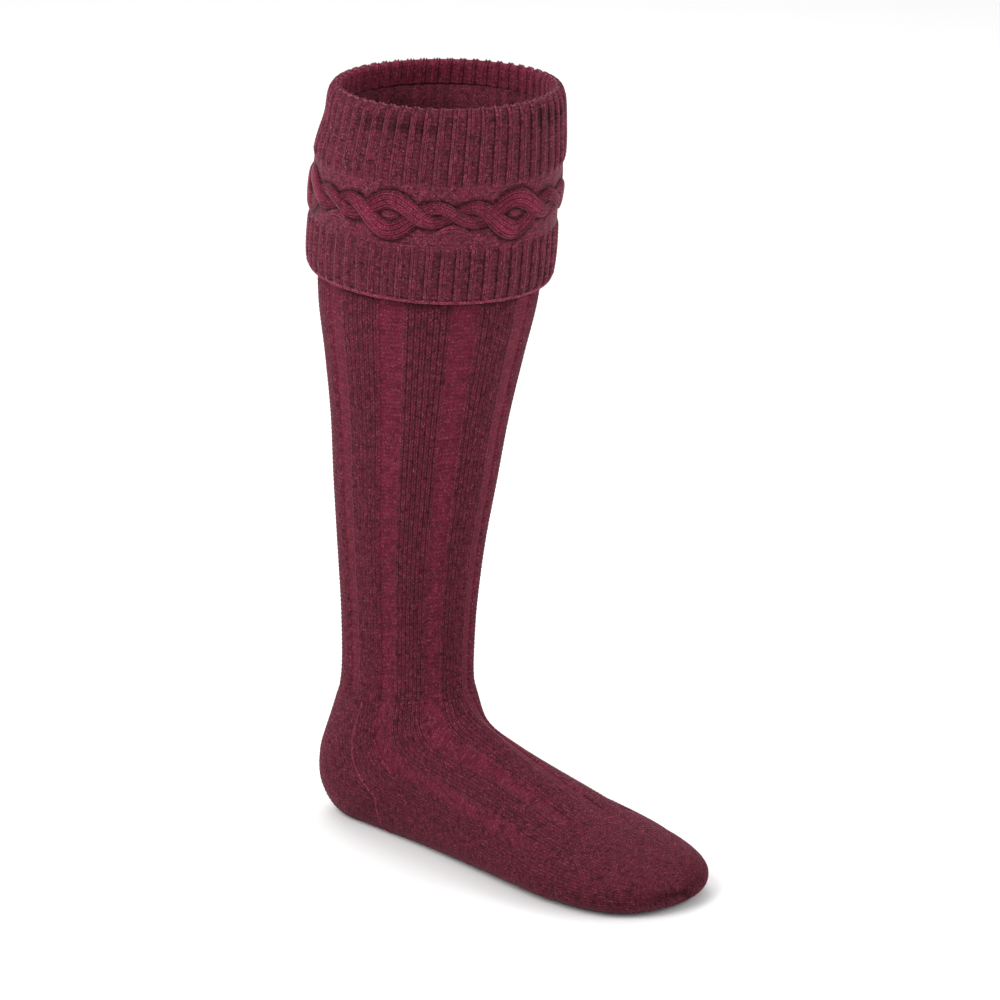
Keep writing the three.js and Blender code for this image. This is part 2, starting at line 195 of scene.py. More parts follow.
@dataclass(frozen=True)
class SockSizes:
    """The driving sizes of the sock, in metres, and the counts of its ribs."""

    height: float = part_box("turnover_cuff")[1].z
    toe_reach: float = -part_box("toe")[0].y
    wall: float = 2.5 * MM
    calf_width: float = 124 * MM
    calf_depth: float = 130 * MM
    ankle_height: float = 90 * MM
    ankle_width: float = 66 * MM
    ankle_depth: float = 81 * MM
    shin_lean: float = 33 * MM
    heel_reach: float = 60 * MM
    heel_width: float = 70 * MM
    ball_width: float = 98 * MM
    toe_length: float = 52 * MM
    toe_tip_rise: float = 0.085
    panels: int = 9
    panel_turn: float = -0.14
    channel_depth: float = 1.1 * MM
    panel_crown: float = 0.5 * MM
    cuff_drop: float = 107 * MM
    cuff_stand: float = 7.2 * MM
    lip_drop: float = 14 * MM
    hem_tilt: float = 9 * MM
    cuff_ribs: int = 52
    cuff_rib_rise: float = 1.3 * MM
    seam_gap: float = 0.1 * MM

    @property
    def leg_top(self) -> float:
        """Height of the leg's top edge, just under the cuff's lip."""
        return self.height - self.lip_drop - self.seam_gap


@dataclass
class SectionRows:
    """Sections of the sock: where each starts and ends in the side view, its width and squareness."""

    front: np.ndarray
    back: np.ndarray
    width: np.ndarray
    power: np.ndarray

    STEPS = 720

    def rings(self, turns: np.ndarray, sole: float) -> np.ndarray:
        """Points round every section, at shares of its length.

        Args:
            turns: shares of the way round from the front past +X.
            sole: the lowest height a point may have.

        Returns:
            An array of sections by turns by 3.
        """
        angle = np.linspace(0, 2 * math.pi, self.STEPS + 1)[None, :]
        power = np.where(np.cos(angle) > 0, 1.0, 2 / self.power[:, None])
        along = signed_power(np.cos(angle), power)[..., None]
        middle = (self.front + self.back)[:, None, :] / 2
        half = (self.front - self.back)[:, None, :] / 2
        yz = middle + along * half
        x = self.width[:, None] / 2 * signed_power(np.sin(angle), power)
        loop = np.stack([x, yz[..., 0], np.maximum(yz[..., 1], sole)], axis=-1)
        steps = np.linalg.norm(np.diff(loop, axis=1), axis=-1)
        length = np.concatenate([np.zeros((len(loop), 1)), np.cumsum(steps, axis=1)], axis=1)
        result = np.empty((len(loop), len(turns), 3))
        for i, (ring, run) in enumerate(zip(loop, length)):
            target = (turns % 1.0) * run[-1]
            for axis in range(3):
                result[i, :, axis] = np.interp(target, run, ring[:, axis])
        return result


@dataclass
class SockSurface:
    """The smooth outer surface of leg and foot, before any stitches, as a fine table of points."""

    sizes: SockSizes
    turns: np.ndarray
    leg_step: float = 1.5 * MM
    foot_steps: int = 36
    points: np.ndarray = field(init=False)
    normals: np.ndarray = field(init=False)
    run: np.ndarray = field(init=False)
    foot_index: np.ndarray = field(init=False)

    CAP_ROWS = 14
    CAP_START = 0.6
    CAP_PASSES = 40
    CAP_PLACE = 11.5
    BEND_ROWS = 22
    BEND_PASSES = 120
    LEAD_IN = (1.4, 1.0)

    def __post_init__(self) -> None:
        """Works out the table's points, their outward directions and the length down each column."""
        sizes = self.sizes
        heights = np.arange(sizes.leg_top, sizes.ankle_height + self.leg_step / 2, -self.leg_step)
        leg = self.leg_rows(sizes, heights)
        foot, index = self.foot_rows()
        rows = SectionRows(*(np.concatenate(pair) for pair in zip(self.fields(leg), self.fields(foot))))
        self.points = rows.rings(self.turns, -sizes.wall)
        tip = np.array([0, -sizes.toe_reach, sizes.toe_tip_rise * sizes.ankle_height])
        bend = np.linspace(self.CAP_START, math.pi / 2, self.CAP_ROWS + 1)[1:, None]
        last = self.points[-1]
        inward = (1 - np.cos(bend) / math.cos(self.CAP_START))[..., None]
        ahead = (np.sin(bend) - math.sin(self.CAP_START)) / (1 - math.sin(self.CAP_START))
        cap = last + (tip - last) * inward
        cap[..., 1] = last[:, 1] + (tip[1] - last[:, 1]) * ahead
        self.points = np.concatenate([self.points, cap])
        total = len(self.points)
        self.soften(total - 3 * self.CAP_ROWS, total - 2, self.CAP_PASSES)
        self.soften(len(heights) - self.BEND_ROWS, len(heights) + 2 * self.BEND_ROWS, self.BEND_PASSES)
        on_leg, on_cap = np.full(len(heights), -1.0), np.full(self.CAP_ROWS, self.CAP_PLACE)
        self.foot_index = np.concatenate([on_leg, index, on_cap])
        down = np.gradient(self.points, axis=0)
        across = np.roll(self.points, -1, axis=1) - np.roll(self.points, 1, axis=1)
        self.normals = unit(np.cross(down, across))
        self.normals[-1] = (0, -1, 0)
        steps = np.linalg.norm(np.diff(self.points, axis=0), axis=-1)
        self.run = np.concatenate([np.zeros((1, len(self.turns))), np.cumsum(steps, axis=0)])

    def soften(self, first: int, end: int, passes: int) -> None:
        """Eases the bends between neighbouring rows of the table.

        Args:
            first: the first row that moves.
            end: the row after the last that moves.
            passes: how often each row moves halfway towards its neighbours.
        """
        for _ in range(passes):
            around = self.points[first - 1 : end - 1] + self.points[first + 1 : end + 1]
            self.points[first:end] = around / 4 + self.points[first:end] / 2

    @staticmethod
    def fields(rows: SectionRows) -> tuple[np.ndarray, ...]:
        """The four arrays of a set of sections, in order."""
        return rows.front, rows.back, rows.width, rows.power

    @staticmethod
    def leg_rows(sizes: SockSizes, heights: np.ndarray) -> SectionRows:
        """Level sections of the leg.

        Args:
            sizes: the sock's sizes.
            heights: the height of each section.

        Returns:
            The sections.
        """
        rise = (heights - sizes.ankle_height) / (sizes.height - sizes.ankle_height)
        key = column(LEG_SECTIONS, LEG_COLUMNS, "rise")
        width, depth, lean = (
            smooth_between(key, column(LEG_SECTIONS, LEG_COLUMNS, name), rise)
            for name in ("width", "depth", "lean")
        )
        half = (sizes.ankle_depth + depth * (sizes.calf_depth - sizes.ankle_depth)) / 2
        centre = -lean * sizes.shin_lean
        return SectionRows(
            np.stack([centre - half, heights], -1),
            np.stack([centre + half, heights], -1),
            sizes.ankle_width + width * (sizes.calf_width - sizes.ankle_width),
            np.full(len(heights), 2.0),
        )

    def foot_rows(self) -> tuple[SectionRows, np.ndarray]:
        """Slanted sections from below the ankle to the toe, and the place of each in the table.

        Returns:
            The sections, and for each its place in the table, below 0 above the first row.
        """
        sizes = self.sizes
        get = {name: column(FOOT_SECTIONS, FOOT_COLUMNS, name) for name in FOOT_COLUMNS}
        reach = np.where(get["back_y"] > 0, sizes.heel_reach, sizes.toe_reach)
        ankle_front = sizes.ankle_depth / 2
        top = self.leg_rows(sizes, np.array(self.LEAD_IN) * sizes.ankle_height)
        front = np.stack(
            [
                -ankle_front - get["front_y"] * (sizes.toe_reach - ankle_front),
                get["front_z"] * sizes.ankle_height,
            ],
            -1,
        )
        back = np.stack([get["back_y"] * reach, get["back_z"] * sizes.ankle_height], -1)
        width = (
            get["ankle"] * sizes.ankle_width
            + get["heel"] * sizes.heel_width
            + get["ball"] * sizes.ball_width
        )
        front, back = np.concatenate([top.front, front]), np.concatenate([top.back, back])
        width = np.concatenate([top.width, width])
        power = np.concatenate([top.power, get["power"]])
        key = np.arange(len(width)) - float(len(self.LEAD_IN))
        at = np.linspace(-1, key[-1], len(FOOT_SECTIONS) * self.foot_steps // 2 + 1)[1:]
        read: Callable[[np.ndarray], np.ndarray] = lambda values: smooth_between(key, values, at)
        rows = SectionRows(
            np.stack([read(front[:, 0]), read(front[:, 1])], -1),
            np.stack([read(back[:, 0]), read(back[:, 1])], -1),
            read(width),
            read(power),
        )
        return rows, at

    def crossing(self, side: Callable[[np.ndarray], np.ndarray], last: bool = False) -> np.ndarray:
        """The length down each column at which it passes to the far side of a cut.

        Args:
            side: gives each point's distance before the cut, negative beyond it.
            last: whether the last passing counts, where a column comes back.

        Returns:
            One length for each column.
        """
        distance = side(self.points)
        if last:
            first = len(distance) - np.argmax(distance[::-1] >= 0, axis=0)
            first = np.minimum(first, len(distance) - 1)
        else:
            first = np.maximum(np.argmax(distance < 0, axis=0), 1)
        pick = np.arange(distance.shape[1])
        before, after = distance[first - 1, pick], distance[first, pick]
        share = np.clip(before / np.where(before == after, 1, before - after), 0, 1)
        return self.run[first - 1, pick] + share * (self.run[first, pick] - self.run[first - 1, pick])

    def sample(self, lengths: np.ndarray) -> tuple[np.ndarray, np.ndarray, np.ndarray]:
        """Points at given lengths down each column.

        Args:
            lengths: rows by columns.

        Returns:
            The points, their outward directions, and their place in the table of foot sections.
        """
        points = np.empty((*lengths.shape, 3))
        normals = np.empty_like(points)
        index = np.empty(lengths.shape)
        for j in range(lengths.shape[1]):
            run = self.run[:, j]
            index[:, j] = np.interp(lengths[:, j], run, self.foot_index)
            for axis in range(3):
                points[:, j, axis] = np.interp(lengths[:, j], run, self.points[:, j, axis])
                normals[:, j, axis] = np.interp(lengths[:, j], run, self.normals[:, j, axis])
        return points, unit(normals), index


@dataclass
class Fabric:
    """One grid of fabric points with what its look needs. Rows run down, columns with the turn."""

    points: np.ndarray
    tone: np.ndarray
    hollow: np.ndarray
    wales: np.ndarray
    courses: np.ndarray
    closed: bool = True

    @property
    def columns(self) -> int:
        """How many points each row has."""
        return self.points.shape[1]

    @property
    def spans(self) -> int:
        """How many cells each row has."""
        return self.columns if self.closed else self.columns - 1


@dataclass
class FabricShell:
    """Joins grids of fabric one after another into one closed mesh."""

    name: str
    looped: bool = True
    parts: list[Fabric] = field(default_factory=list)
    corners: list[np.ndarray] = field(default_factory=list)
    counts: list[np.ndarray] = field(default_factory=list)
    smooth: list[np.ndarray] = field(default_factory=list)
    knit_uv: list[np.ndarray] = field(default_factory=list)
    bake_uv: list[np.ndarray] = field(default_factory=list)

    BRIDGE_BAND = 0.004

    def add(self, part: Fabric) -> "FabricShell":
        """Adds the next grid in order round the shell, and returns the shell."""
        self.parts.append(part)
        return self

    def store(self, faces: np.ndarray, knit: np.ndarray, bake: np.ndarray, smooth: bool = True) -> None:
        """Keeps faces of one size with the UVs of their corners and whether they shade smoothly.

        Args:
            faces: the vertex numbers of each face.
            knit: the stitch map's place of each corner.
            bake: the bake map's place of each corner.
            smooth: whether the faces shade smoothly.
        """
        self.smooth.append(np.full(len(faces), smooth))
        self.corners.append(faces.reshape(-1))
        self.counts.append(np.full(len(faces), faces.shape[1]))
        self.knit_uv.append(knit.reshape(-1, 2))
        self.bake_uv.append(bake.reshape(-1, 2))

    def grid_faces(self, part: Fabric, start: int, band: tuple[float, float]) -> None:
        """Makes the quads of one grid.

        Args:
            part: the grid.
            start: the number of its first vertex.
            band: the low and high V of its strip of the bake map.
        """
        rows, columns, spans = part.points.shape[0], part.columns, part.spans
        i, j = np.meshgrid(np.arange(rows - 1), np.arange(spans), indexing="ij")
        corner_rows = np.stack([i, i + 1, i + 1, i], -1).reshape(-1, 4)
        corner_columns = np.stack([j, j, j + 1, j + 1], -1).reshape(-1, 4)
        faces = start + corner_rows * columns + corner_columns % columns
        knit = np.stack([part.wales[corner_columns], part.courses[corner_rows]], -1)
        v = band[0] + (band[1] - band[0]) * corner_rows / (rows - 1)
        self.store(faces, knit, np.stack([corner_columns / spans, v], -1))

    def bridge(self, a: Fabric, b: Fabric, ring_a: int, ring_b: int, low: float) -> None:
        """Joins the last row of one grid to the first of the next, which may have fewer columns.

        Args:
            a: the grid before.
            b: the grid after.
            ring_a: the number of the first vertex in a's last row.
            ring_b: the number of the first vertex in b's first row.
            low: the low V of the strip of the bake map.
        """
        spans = max(a.spans, b.spans)
        step_a, step_b = spans // a.spans, spans // b.spans
        j = np.arange(spans)
        at_a, next_a = j // step_a, (j + 1) // step_a
        at_b, next_b = j // step_b, (j + 1) // step_b
        course_a, course_b = a.courses[-1], b.courses[0]
        high = low + self.BRIDGE_BAND
        rows = (
            ((at_a, ring_a, a, course_a, low, j), (at_b, ring_b, b, course_b, high, j),
             (next_b, ring_b, b, course_b, high, j + 1)),
            ((at_a, ring_a, a, course_a, low, j), (next_b, ring_b, b, course_b, high, j + 1),
             (next_a, ring_a, a, course_a, low, j + 1)),
        )
        for triangle in rows:
            faces = np.stack([ring + at % part.columns for at, ring, part, *_ in triangle], -1)
            real = (faces != np.roll(faces, 1, axis=1)).all(axis=1)
            places = ((part.wales[at], course) for at, _, part, course, *_ in triangle)
            knit = np.stack([np.stack([wale, np.full(spans, course)], -1) for wale, course in places], 1)
            bake = np.stack([np.stack([u / spans, np.full(spans, v)], -1) for *_, v, u in triangle], 1)
            self.store(faces[real], knit[real], bake[real], smooth=False)

    def close_tip(self, part: Fabric, ring: int, tip: int, first: bool, low: float) -> None:
        """Closes a row to a single point.

        Args:
            part: the grid that ends there.
            ring: the number of the row's first vertex.
            tip: the number of the point.
            first: whether the row is the grid's first.
            low: the low V of the strip of the bake map.
        """
        j = np.arange(part.spans)
        ends = (ring + j, ring + (j + 1) % part.columns)
        order = ends if first else ends[::-1]
        faces = np.stack([np.full(len(j), tip), *order], -1)
        course = part.courses[0 if first else -1]
        wales = [part.wales[j], part.wales[j], part.wales[j + 1]]
        knit = np.stack([np.stack([w, np.full(len(j), course)], -1) for w in wales], 1)
        heights = (low + self.BRIDGE_BAND, low, low)
        bake = np.stack(
            [np.stack([(j + 0.5 * n) / part.spans, np.full(len(j), v)], -1) for n, v in enumerate(heights)],
            1,
        )
        self.store(faces, knit, bake)

    def build(self, tips: Sequence[np.ndarray] = ()) -> bpy.types.Object:
        """Makes the object.

        Args:
            tips: for a shell that isn't looped, the points that close its first and last rows.

        Returns:
            The object, linked to the scene.
        """
        starts = np.concatenate([[0], np.cumsum([p.points.shape[0] * p.columns for p in self.parts])])
        rows = np.array([part.points.shape[0] for part in self.parts], float)
        bridges = len(self.parts) + 1
        space = 1 - 2 * bridges * self.BRIDGE_BAND
        low = 0.0
        for n, part in enumerate(self.parts):
            tall = space * rows[n] / rows.sum()
            self.grid_faces(part, int(starts[n]), (low, low + tall))
            low += tall + self.BRIDGE_BAND / 2
            following = self.parts[(n + 1) % len(self.parts)]
            last_ring = int(starts[n + 1]) - part.columns
            if n + 1 < len(self.parts) or self.looped:
                self.bridge(part, following, last_ring, int(starts[(n + 1) % len(self.parts)]), low)
            low += self.BRIDGE_BAND * 1.5
        vertices = [part.points.reshape(-1, 3) for part in self.parts]
        tone = [part.tone.reshape(-1) for part in self.parts]
        hollow = [part.hollow.reshape(-1) for part in self.parts]
        if not self.looped:
            total = int(starts[-1])
            first, last = self.parts[0], self.parts[-1]
            self.close_tip(first, 0, total, True, low)
            self.close_tip(last, total - last.columns, total + 1, False, low + self.BRIDGE_BAND * 1.2)
            vertices.append(np.array(tips))
            tone.append(np.zeros(2))
            hollow.append(np.zeros(2))
        return self.mesh_object(*(np.concatenate(rows) for rows in (vertices, tone, hollow)))

    def mesh_object(self, vertices: np.ndarray, tone: np.ndarray, hollow: np.ndarray) -> bpy.types.Object:
        """Turns the stored faces into an object with its UV maps and attributes.

        Args:
            vertices: the points.
            tone: each point's redness.
            hollow: each point's painted shade, from how deep it lies between the stitches and from painted
                shadows.

        Returns:
            The object, linked to the scene.
        """
        counts = np.concatenate(self.counts)
        corners = np.concatenate(self.corners)
        mesh = bpy.data.meshes.new(self.name)
        mesh.vertices.add(len(vertices))
        mesh.vertices.foreach_set("co", vertices.astype(np.float32).ravel())
        mesh.loops.add(len(corners))
        mesh.loops.foreach_set("vertex_index", corners.astype(np.int32))
        mesh.polygons.add(len(counts))
        starts = np.concatenate([[0], np.cumsum(counts)[:-1]])
        mesh.polygons.foreach_set("loop_start", starts.astype(np.int32))
        mesh.polygons.foreach_set("use_smooth", np.concatenate(self.smooth))
        mesh.update(calc_edges=True)
        for name, uv in (("OFBake", self.bake_uv), ("knit", self.knit_uv)):
            layer = mesh.uv_layers.new(name=name)
            layer.data.foreach_set("uv", np.concatenate(uv).astype(np.float32).ravel())
        for name, values in (("tone", tone), ("hollow", hollow)):
            attribute = mesh.attributes.new(name, "FLOAT", "POINT")
            attribute.data.foreach_set("value", values.astype(np.float32))
        mesh.validate()
        return link_object(self.name, mesh)


def link_object(name: str, data: bpy.types.ID) -> bpy.types.Object:
    """A new object in the scene for some data.

    Args:
        name: its name.
        data: a mesh, camera or light.

    Returns:
        The object.
    """
    made = bpy.data.objects.new(name, data)
    bpy.context.scene.collection.objects.link(made)
    return made


def weld(made: bpy.types.Object, distance: float) -> None:
    """Merges points of a mesh that lie together, so that squeezed faces go.

    Args:
        made: the object.
        distance: how close points are to be merged.
    """
    work = bmesh.new()
    work.from_mesh(made.data)
    bmesh.ops.remove_doubles(work, verts=work.verts, dist=distance)
    bmesh.ops.dissolve_degenerate(work, edges=work.edges, dist=distance)
    work.to_mesh(made.data)
    work.free()


class Pattern(Enum):
    """What a stretch of the stocking is knitted in."""

    RIBBED = "ribbed"
    PLAIN = "plain"


@dataclass(frozen=True)
class Gauge:
    """How the stitches are laid out and how far they stand."""

    course: float = 2.6 * MM
    across: int = 4
    down: int = 2
    plain_rise: float = 0.85 * MM
    purl_rise: float = 0.3 * MM
    purl_shade: float = 0.38
    purl_shade_depth: float = 0.3
    lean: float = 1.0
    between_legs: float = 0.42
    plain_floor: float = 0.6
    purl_edge: float = 0.72
    purl_floor: float = 0.12

    def relief(self, x: np.ndarray, y: np.ndarray, purl: np.ndarray) -> np.ndarray:
        """How far the yarn stands above the fabric's ground.

        Args:
            x: place across each column's wale, 0 to 1.
            y: place down each row's course, 0 to 1.
            purl: how much each point shows the purl side, rows by columns.

        Returns:
            The rise in metres, rows by columns.
        """
        across, down = np.sin(math.pi * x), np.sin(math.pi * y)[:, None] ** 2
        legs = np.maximum(np.abs(np.sin(2 * math.pi * x)), self.between_legs * across**4)
        plain = legs[None, :] * (self.plain_floor + (1 - self.plain_floor) * down)
        bump = (self.purl_edge + (1 - self.purl_edge) * across)[None, :]
        bump = bump * (self.purl_floor + (1 - self.purl_floor) * down)
        return plain * self.plain_rise * (1 - purl) + bump * self.purl_rise * purl

    def hollow(self, stitch: np.ndarray, purl: np.ndarray) -> np.ndarray:
        """Painted shade from how deep each point lies between the stitches, 0 to 1, which is less marked on
        the purl side.

        Args:
            stitch: how far the yarn stands at each point.
            purl: how much each point shows the purl side.

        Returns:
            The painted shade.
        """
        plain = 1 - stitch / self.plain_rise
        bumps = self.purl_shade + self.purl_shade_depth * (1 - stitch / self.purl_rise)
        return np.clip(np.where(purl > 0.5, bumps, plain), 0, 1)

    def shear(self, x: np.ndarray, purl: np.ndarray, upward: bool) -> np.ndarray:
        """How far each point moves along its wale, so that the legs of a stitch lean together.

        Args:
            x: place across each column's wale, 0 to 1.
            purl: how much each point shows the purl side.
            upward: whether the stitches point up.

        Returns:
            The move down the wale in metres.
        """
        spread = (np.abs(2 * x - 1) - 0.5) * self.lean * self.course
        return spread * (1 - purl) * (1 if upward else -1)


@dataclass
class Stocking:
    """Leg, heel, foot and toe: four shells cut from one ribbed tube."""

    sizes: SockSizes
    gauge: Gauge = Gauge()
    # Each panel with its channel, and where on the leg the fine stitches start.
    wales_per_rib: int = 12
    channel_wales: int = 4
    fine_from: float = 345 * MM
    # Seams: the leg's at front and back as shares of the ankle's height, the heel's along the sole.
    leg_seam: tuple[float, float] = (0.9, 0.74)
    heel_seam_sole: float = -0.15
    inner_step: int = 4
    gusset_wales: int = 5
    # Where the ribs fade: above the heel, and on the foot by its sections and its turn.
    rib_fade: float = 12 * MM
    sole_from: tuple[float, float] = (1, 3)
    sole_turn: tuple[float, float] = (0.22, 0.26)
    ribs_end: tuple[float, float] = (6, 8)
    channel_edge: tuple[float, float] = (0.3, 0.5)
    crown_power: float = 0.7
    still_rows: int = 4
    # The channels' redness grows between these heights. Painted shadow darkens the leg close under the hem.
    red_from: tuple[float, float] = (130 * MM, 310 * MM)
    low_tone: float = 0.6
    least_room: float = 0.5
    hem_shadow: float = 1.25
    hem_shadow_drop: float = 9 * MM
    covered_rows: int = 12
    lining_rows: tuple[int, int] = (5, 27)
    foot_row_step: int = 6
    toe_row_step: int = 4
    weld_gap: float = 0.01 * MM
    surface: SockSurface = field(init=False)
    wale: np.ndarray = field(init=False)

    SAME = 1e-7

    def __post_init__(self) -> None:
        """Lays out the wales so that each channel has whole ones, and makes the smooth surface."""
        sizes = self.sizes
        count = sizes.panels * self.wales_per_rib
        self.wale = np.arange(count * self.gauge.across) / self.gauge.across - self.channel_wales / 2
        first_channel = (0.5 + sizes.panel_turn) / sizes.panels
        self.surface = SockSurface(sizes, first_channel + self.wale / count)

    @property
    def turn(self) -> np.ndarray:
        """Each column's turn, from -0.5 to 0.5."""
        return (self.surface.turns + 0.5) % 1.0 - 0.5

    @property
    def across(self) -> np.ndarray:
        """Each column's place across its wale."""
        return self.wale % 1.0

    def above_leg_seam(self, points: np.ndarray) -> np.ndarray:
        """Distance of points above the seam between leg and foot.

        Args:
            points: the points, xyz last.

        Returns:
            The distances in metres, below 0 under the seam.
        """
        sizes = self.sizes
        front = np.array([-sizes.ankle_depth / 2, self.leg_seam[0] * sizes.ankle_height])
        back = np.array([sizes.heel_reach, self.leg_seam[1] * sizes.ankle_height])
        along = unit(back - front)
        offset = points[..., 1:] - front
        return along[0] * offset[..., 1] - along[1] * offset[..., 0]

    def behind_heel_seam(self, points: np.ndarray) -> np.ndarray:
        """Distance of points behind the seam round the front of the heel.

        Args:
            points: the points, xyz last.

        Returns:
            The distances in metres, below 0 in front of the seam.
        """
        sizes = self.sizes
        top = np.array([0.0, sizes.ankle_height])
        low = np.array([self.heel_seam_sole * sizes.heel_reach, 0.0])
        along = unit(low - top)
        offset = points[..., 1:] - top
        return along[0] * offset[..., 1] - along[1] * offset[..., 0]

    def before_toe(self, points: np.ndarray) -> np.ndarray:
        """Distance of points behind the toe's seam."""
        return points[..., 1] + self.sizes.toe_reach - self.sizes.toe_length

    def rib_share(self, index: np.ndarray, turn: np.ndarray) -> np.ndarray:
        """How much of the wide ribs shows: all on the leg and instep, none on sole, heel and toe.

        Args:
            index: each point's place in the foot's table, below 0 on the leg.
            turn: each point's turn, -0.5 to 0.5.

        Returns:
            Shares from 0 to 1.
        """
        sole = smoothstep(*self.sole_from, index) * smoothstep(*self.sole_turn, np.abs(turn))
        return (1 - sole) * (1 - smoothstep(*self.ribs_end, index))

    def channel(self) -> np.ndarray:
        """How far each column lies inside a channel, 0 to 1.

        Returns:
            One share for each column.
        """
        place = (self.wale + self.channel_wales / 2) % self.wales_per_rib
        half = self.wales_per_rib / 2
        aside = np.abs((place - self.channel_wales / 2 + half) % self.wales_per_rib - half)
        inner, outer = self.channel_edge
        return 1 - smoothstep(self.channel_wales / 2 - inner, self.channel_wales / 2 + outer, aside)

    def crown(self) -> np.ndarray:
        """How far each column stands up as part of a panel's rounded middle, 0 to 1.

        Returns:
            One share for each column.
        """
        place = (self.wale - self.channel_wales / 2) % self.wales_per_rib
        share = np.clip(place / (self.wales_per_rib - self.channel_wales), 0, 1)
        return np.sin(math.pi * share) ** self.crown_power * (share < 1)

    def knitted(
        self,
        lengths: np.ndarray,
        pick: np.ndarray,
        pattern: Pattern,
        edges: bool,
        share: np.ndarray | float = 1.0,
    ) -> Fabric:
        """A grid of stitches on the surface.

        Args:
            lengths: the length down each column of every row, rows by columns.
            pick: the columns used.
            pattern: whether the fabric has the wide ribs.
            edges: whether the lengths start and end at seams, where the stitches straighten.
            share: how much of the ribs there is, rows by columns.

        Returns:
            The fabric.
        """
        gauge = self.gauge
        rows = lengths.shape[0]
        course = np.arange(rows) / gauge.down
        turn = self.turn[pick]
        _, _, index = self.surface_sample(lengths, pick)
        ribbed = pattern is Pattern.RIBBED
        rib = self.rib_share(index, turn[None, :]) * ribbed * share
        channel = self.channel()[pick][None, :] * rib
        purl = np.round(channel)
        shear = gauge.shear(self.across[pick][None, :], purl, False)
        ends = np.minimum(np.arange(rows), np.arange(rows)[::-1])[:, None]
        shear = shear * (smoothstep(0, self.still_rows, ends) if edges else 1)
        moved = np.clip(lengths + shear, lengths[:1], lengths[-1:])
        squeezed = (lengths <= lengths[:1] + self.SAME) | (lengths >= lengths[-1:] - self.SAME)
        moved = np.where(squeezed, lengths, moved)
        points, normals, _ = self.surface_sample(moved, pick)
        stitch = gauge.relief(self.across[pick], course % 1.0, purl)
        crest = gauge.relief(self.across[pick], np.full(rows, 0.5), purl)
        stitch = np.where(squeezed, crest, stitch) * self.room(points)
        form = rib * self.crown()[pick][None, :] * self.sizes.panel_crown - channel * self.sizes.channel_depth
        points = points + normals * (form + stitch - gauge.plain_rise / 2)[..., None]
        # Painted shade between the stitches, deeper where the yarn sinks.
        hollow = gauge.hollow(stitch, purl)
        wales = np.append(self.wale[pick], self.wale[pick][-1] + 1 / gauge.across)
        height = smoothstep(*self.red_from, points[..., 2])
        tone = channel * (self.low_tone + (1 - self.low_tone) * height)
        return Fabric(points, tone, hollow, wales, course, len(pick) == len(self.wale))

    def room(self, points: np.ndarray) -> np.ndarray:
        """How much room the stitches have: 1 as a rule, down to 0 where the wales run together."""
        width = np.linalg.norm(np.diff(points, axis=1, append=points[:, :1]), axis=-1)
        return np.clip(width / (self.least_room * np.median(width)), 0, 1)

    def surface_sample(self, lengths: np.ndarray, pick: np.ndarray) -> tuple[np.ndarray, ...]:
        """The surface at lengths down chosen columns.

        Args:
            lengths: rows by chosen columns.
            pick: the numbers of the columns.

        Returns:
            The points, their outward directions and their place in the foot's table.
        """
        whole = np.zeros((lengths.shape[0], len(self.wale)))
        whole[:, pick] = lengths
        return tuple(values[:, pick] for values in self.surface.sample(whole))

    def lining(self, lengths: np.ndarray, pick: np.ndarray, row_step: int) -> Fabric:
        """The plain inside of a stretch of fabric, from its far end back to its start.

        Args:
            lengths: the length down each column of the stretch's rows.
            pick: the columns used.
            row_step: how many rows of the stretch each row of the lining spans.

        Returns:
            The fabric, coarser both ways than the outside.
        """
        rows = np.unique(np.append(np.arange(0, lengths.shape[0] - 1, row_step), lengths.shape[0] - 1))[::-1]
        closed = len(pick) == len(self.wale)
        steps = np.arange(0, len(pick), self.inner_step)
        points, normals, _ = self.surface_sample(lengths[rows][:, steps], pick[steps])
        points = points - normals * self.sizes.wall
        shape = points.shape[:2]
        wales = np.append(self.wale[pick[steps]], self.wale[pick[-1]] + 1 / self.gauge.across)
        courses = rows / self.gauge.down
        return Fabric(points, np.zeros(shape), np.full(shape, LINING_PAINTED_SHADE), wales, courses, closed)

    def spaced(self, start: np.ndarray, end: np.ndarray, rows: int) -> np.ndarray:
        """Evenly spaced lengths down every column between two cuts."""
        share = np.linspace(0, 1, rows)[:, None]
        return start[None, :] * (1 - share) + end[None, :] * share

    def row_count(self, start: np.ndarray, end: np.ndarray) -> int:
        """Rows for whole courses between two cuts, at the middle of the front and back."""
        return int(round(float(np.median(end - start)) / self.gauge.course)) * self.gauge.down + 1

    def leg(self) -> bpy.types.Object:
        """The tube under the cuff, with coarse rows where the cuff covers it.

        Returns:
            The finished tube.
        """
        every = np.arange(len(self.wale))
        surface = self.surface
        fine = surface.crossing(lambda p: p[..., 2] - self.fine_from)
        seam = surface.crossing(self.above_leg_seam)
        covered = self.spaced(surface.run[0], fine, self.covered_rows)[:-1]
        shown = self.spaced(fine, seam, self.row_count(fine, seam))
        top = self.knitted(covered, every, Pattern.RIBBED, False)
        top.courses = np.linspace(-float(fine.mean()) / self.gauge.course, 0, len(covered))
        above, under = self.lining_rows
        inside = [self.spaced(surface.run[0], fine, above)[:-1], self.spaced(fine, seam, under)]
        shell = FabricShell("knitted_leg")
        over_heel = np.zeros(len(every))
        over_heel[self.heel_columns()] = 1.0
        near_seam = smoothstep(-self.rib_fade, 0, shown - seam[None, :])
        below = self.knitted(shown, every, Pattern.RIBBED, True, 1 - over_heel[None, :] * near_seam)
        # Painted shadow close under the cuff's hem, added to the leg's painted shade.
        below.hollow = np.maximum(below.hollow, self.hem_shade(below.points))
        shell.add(top).add(below).add(self.lining(np.concatenate(inside), every, 1))
        return shell.build()

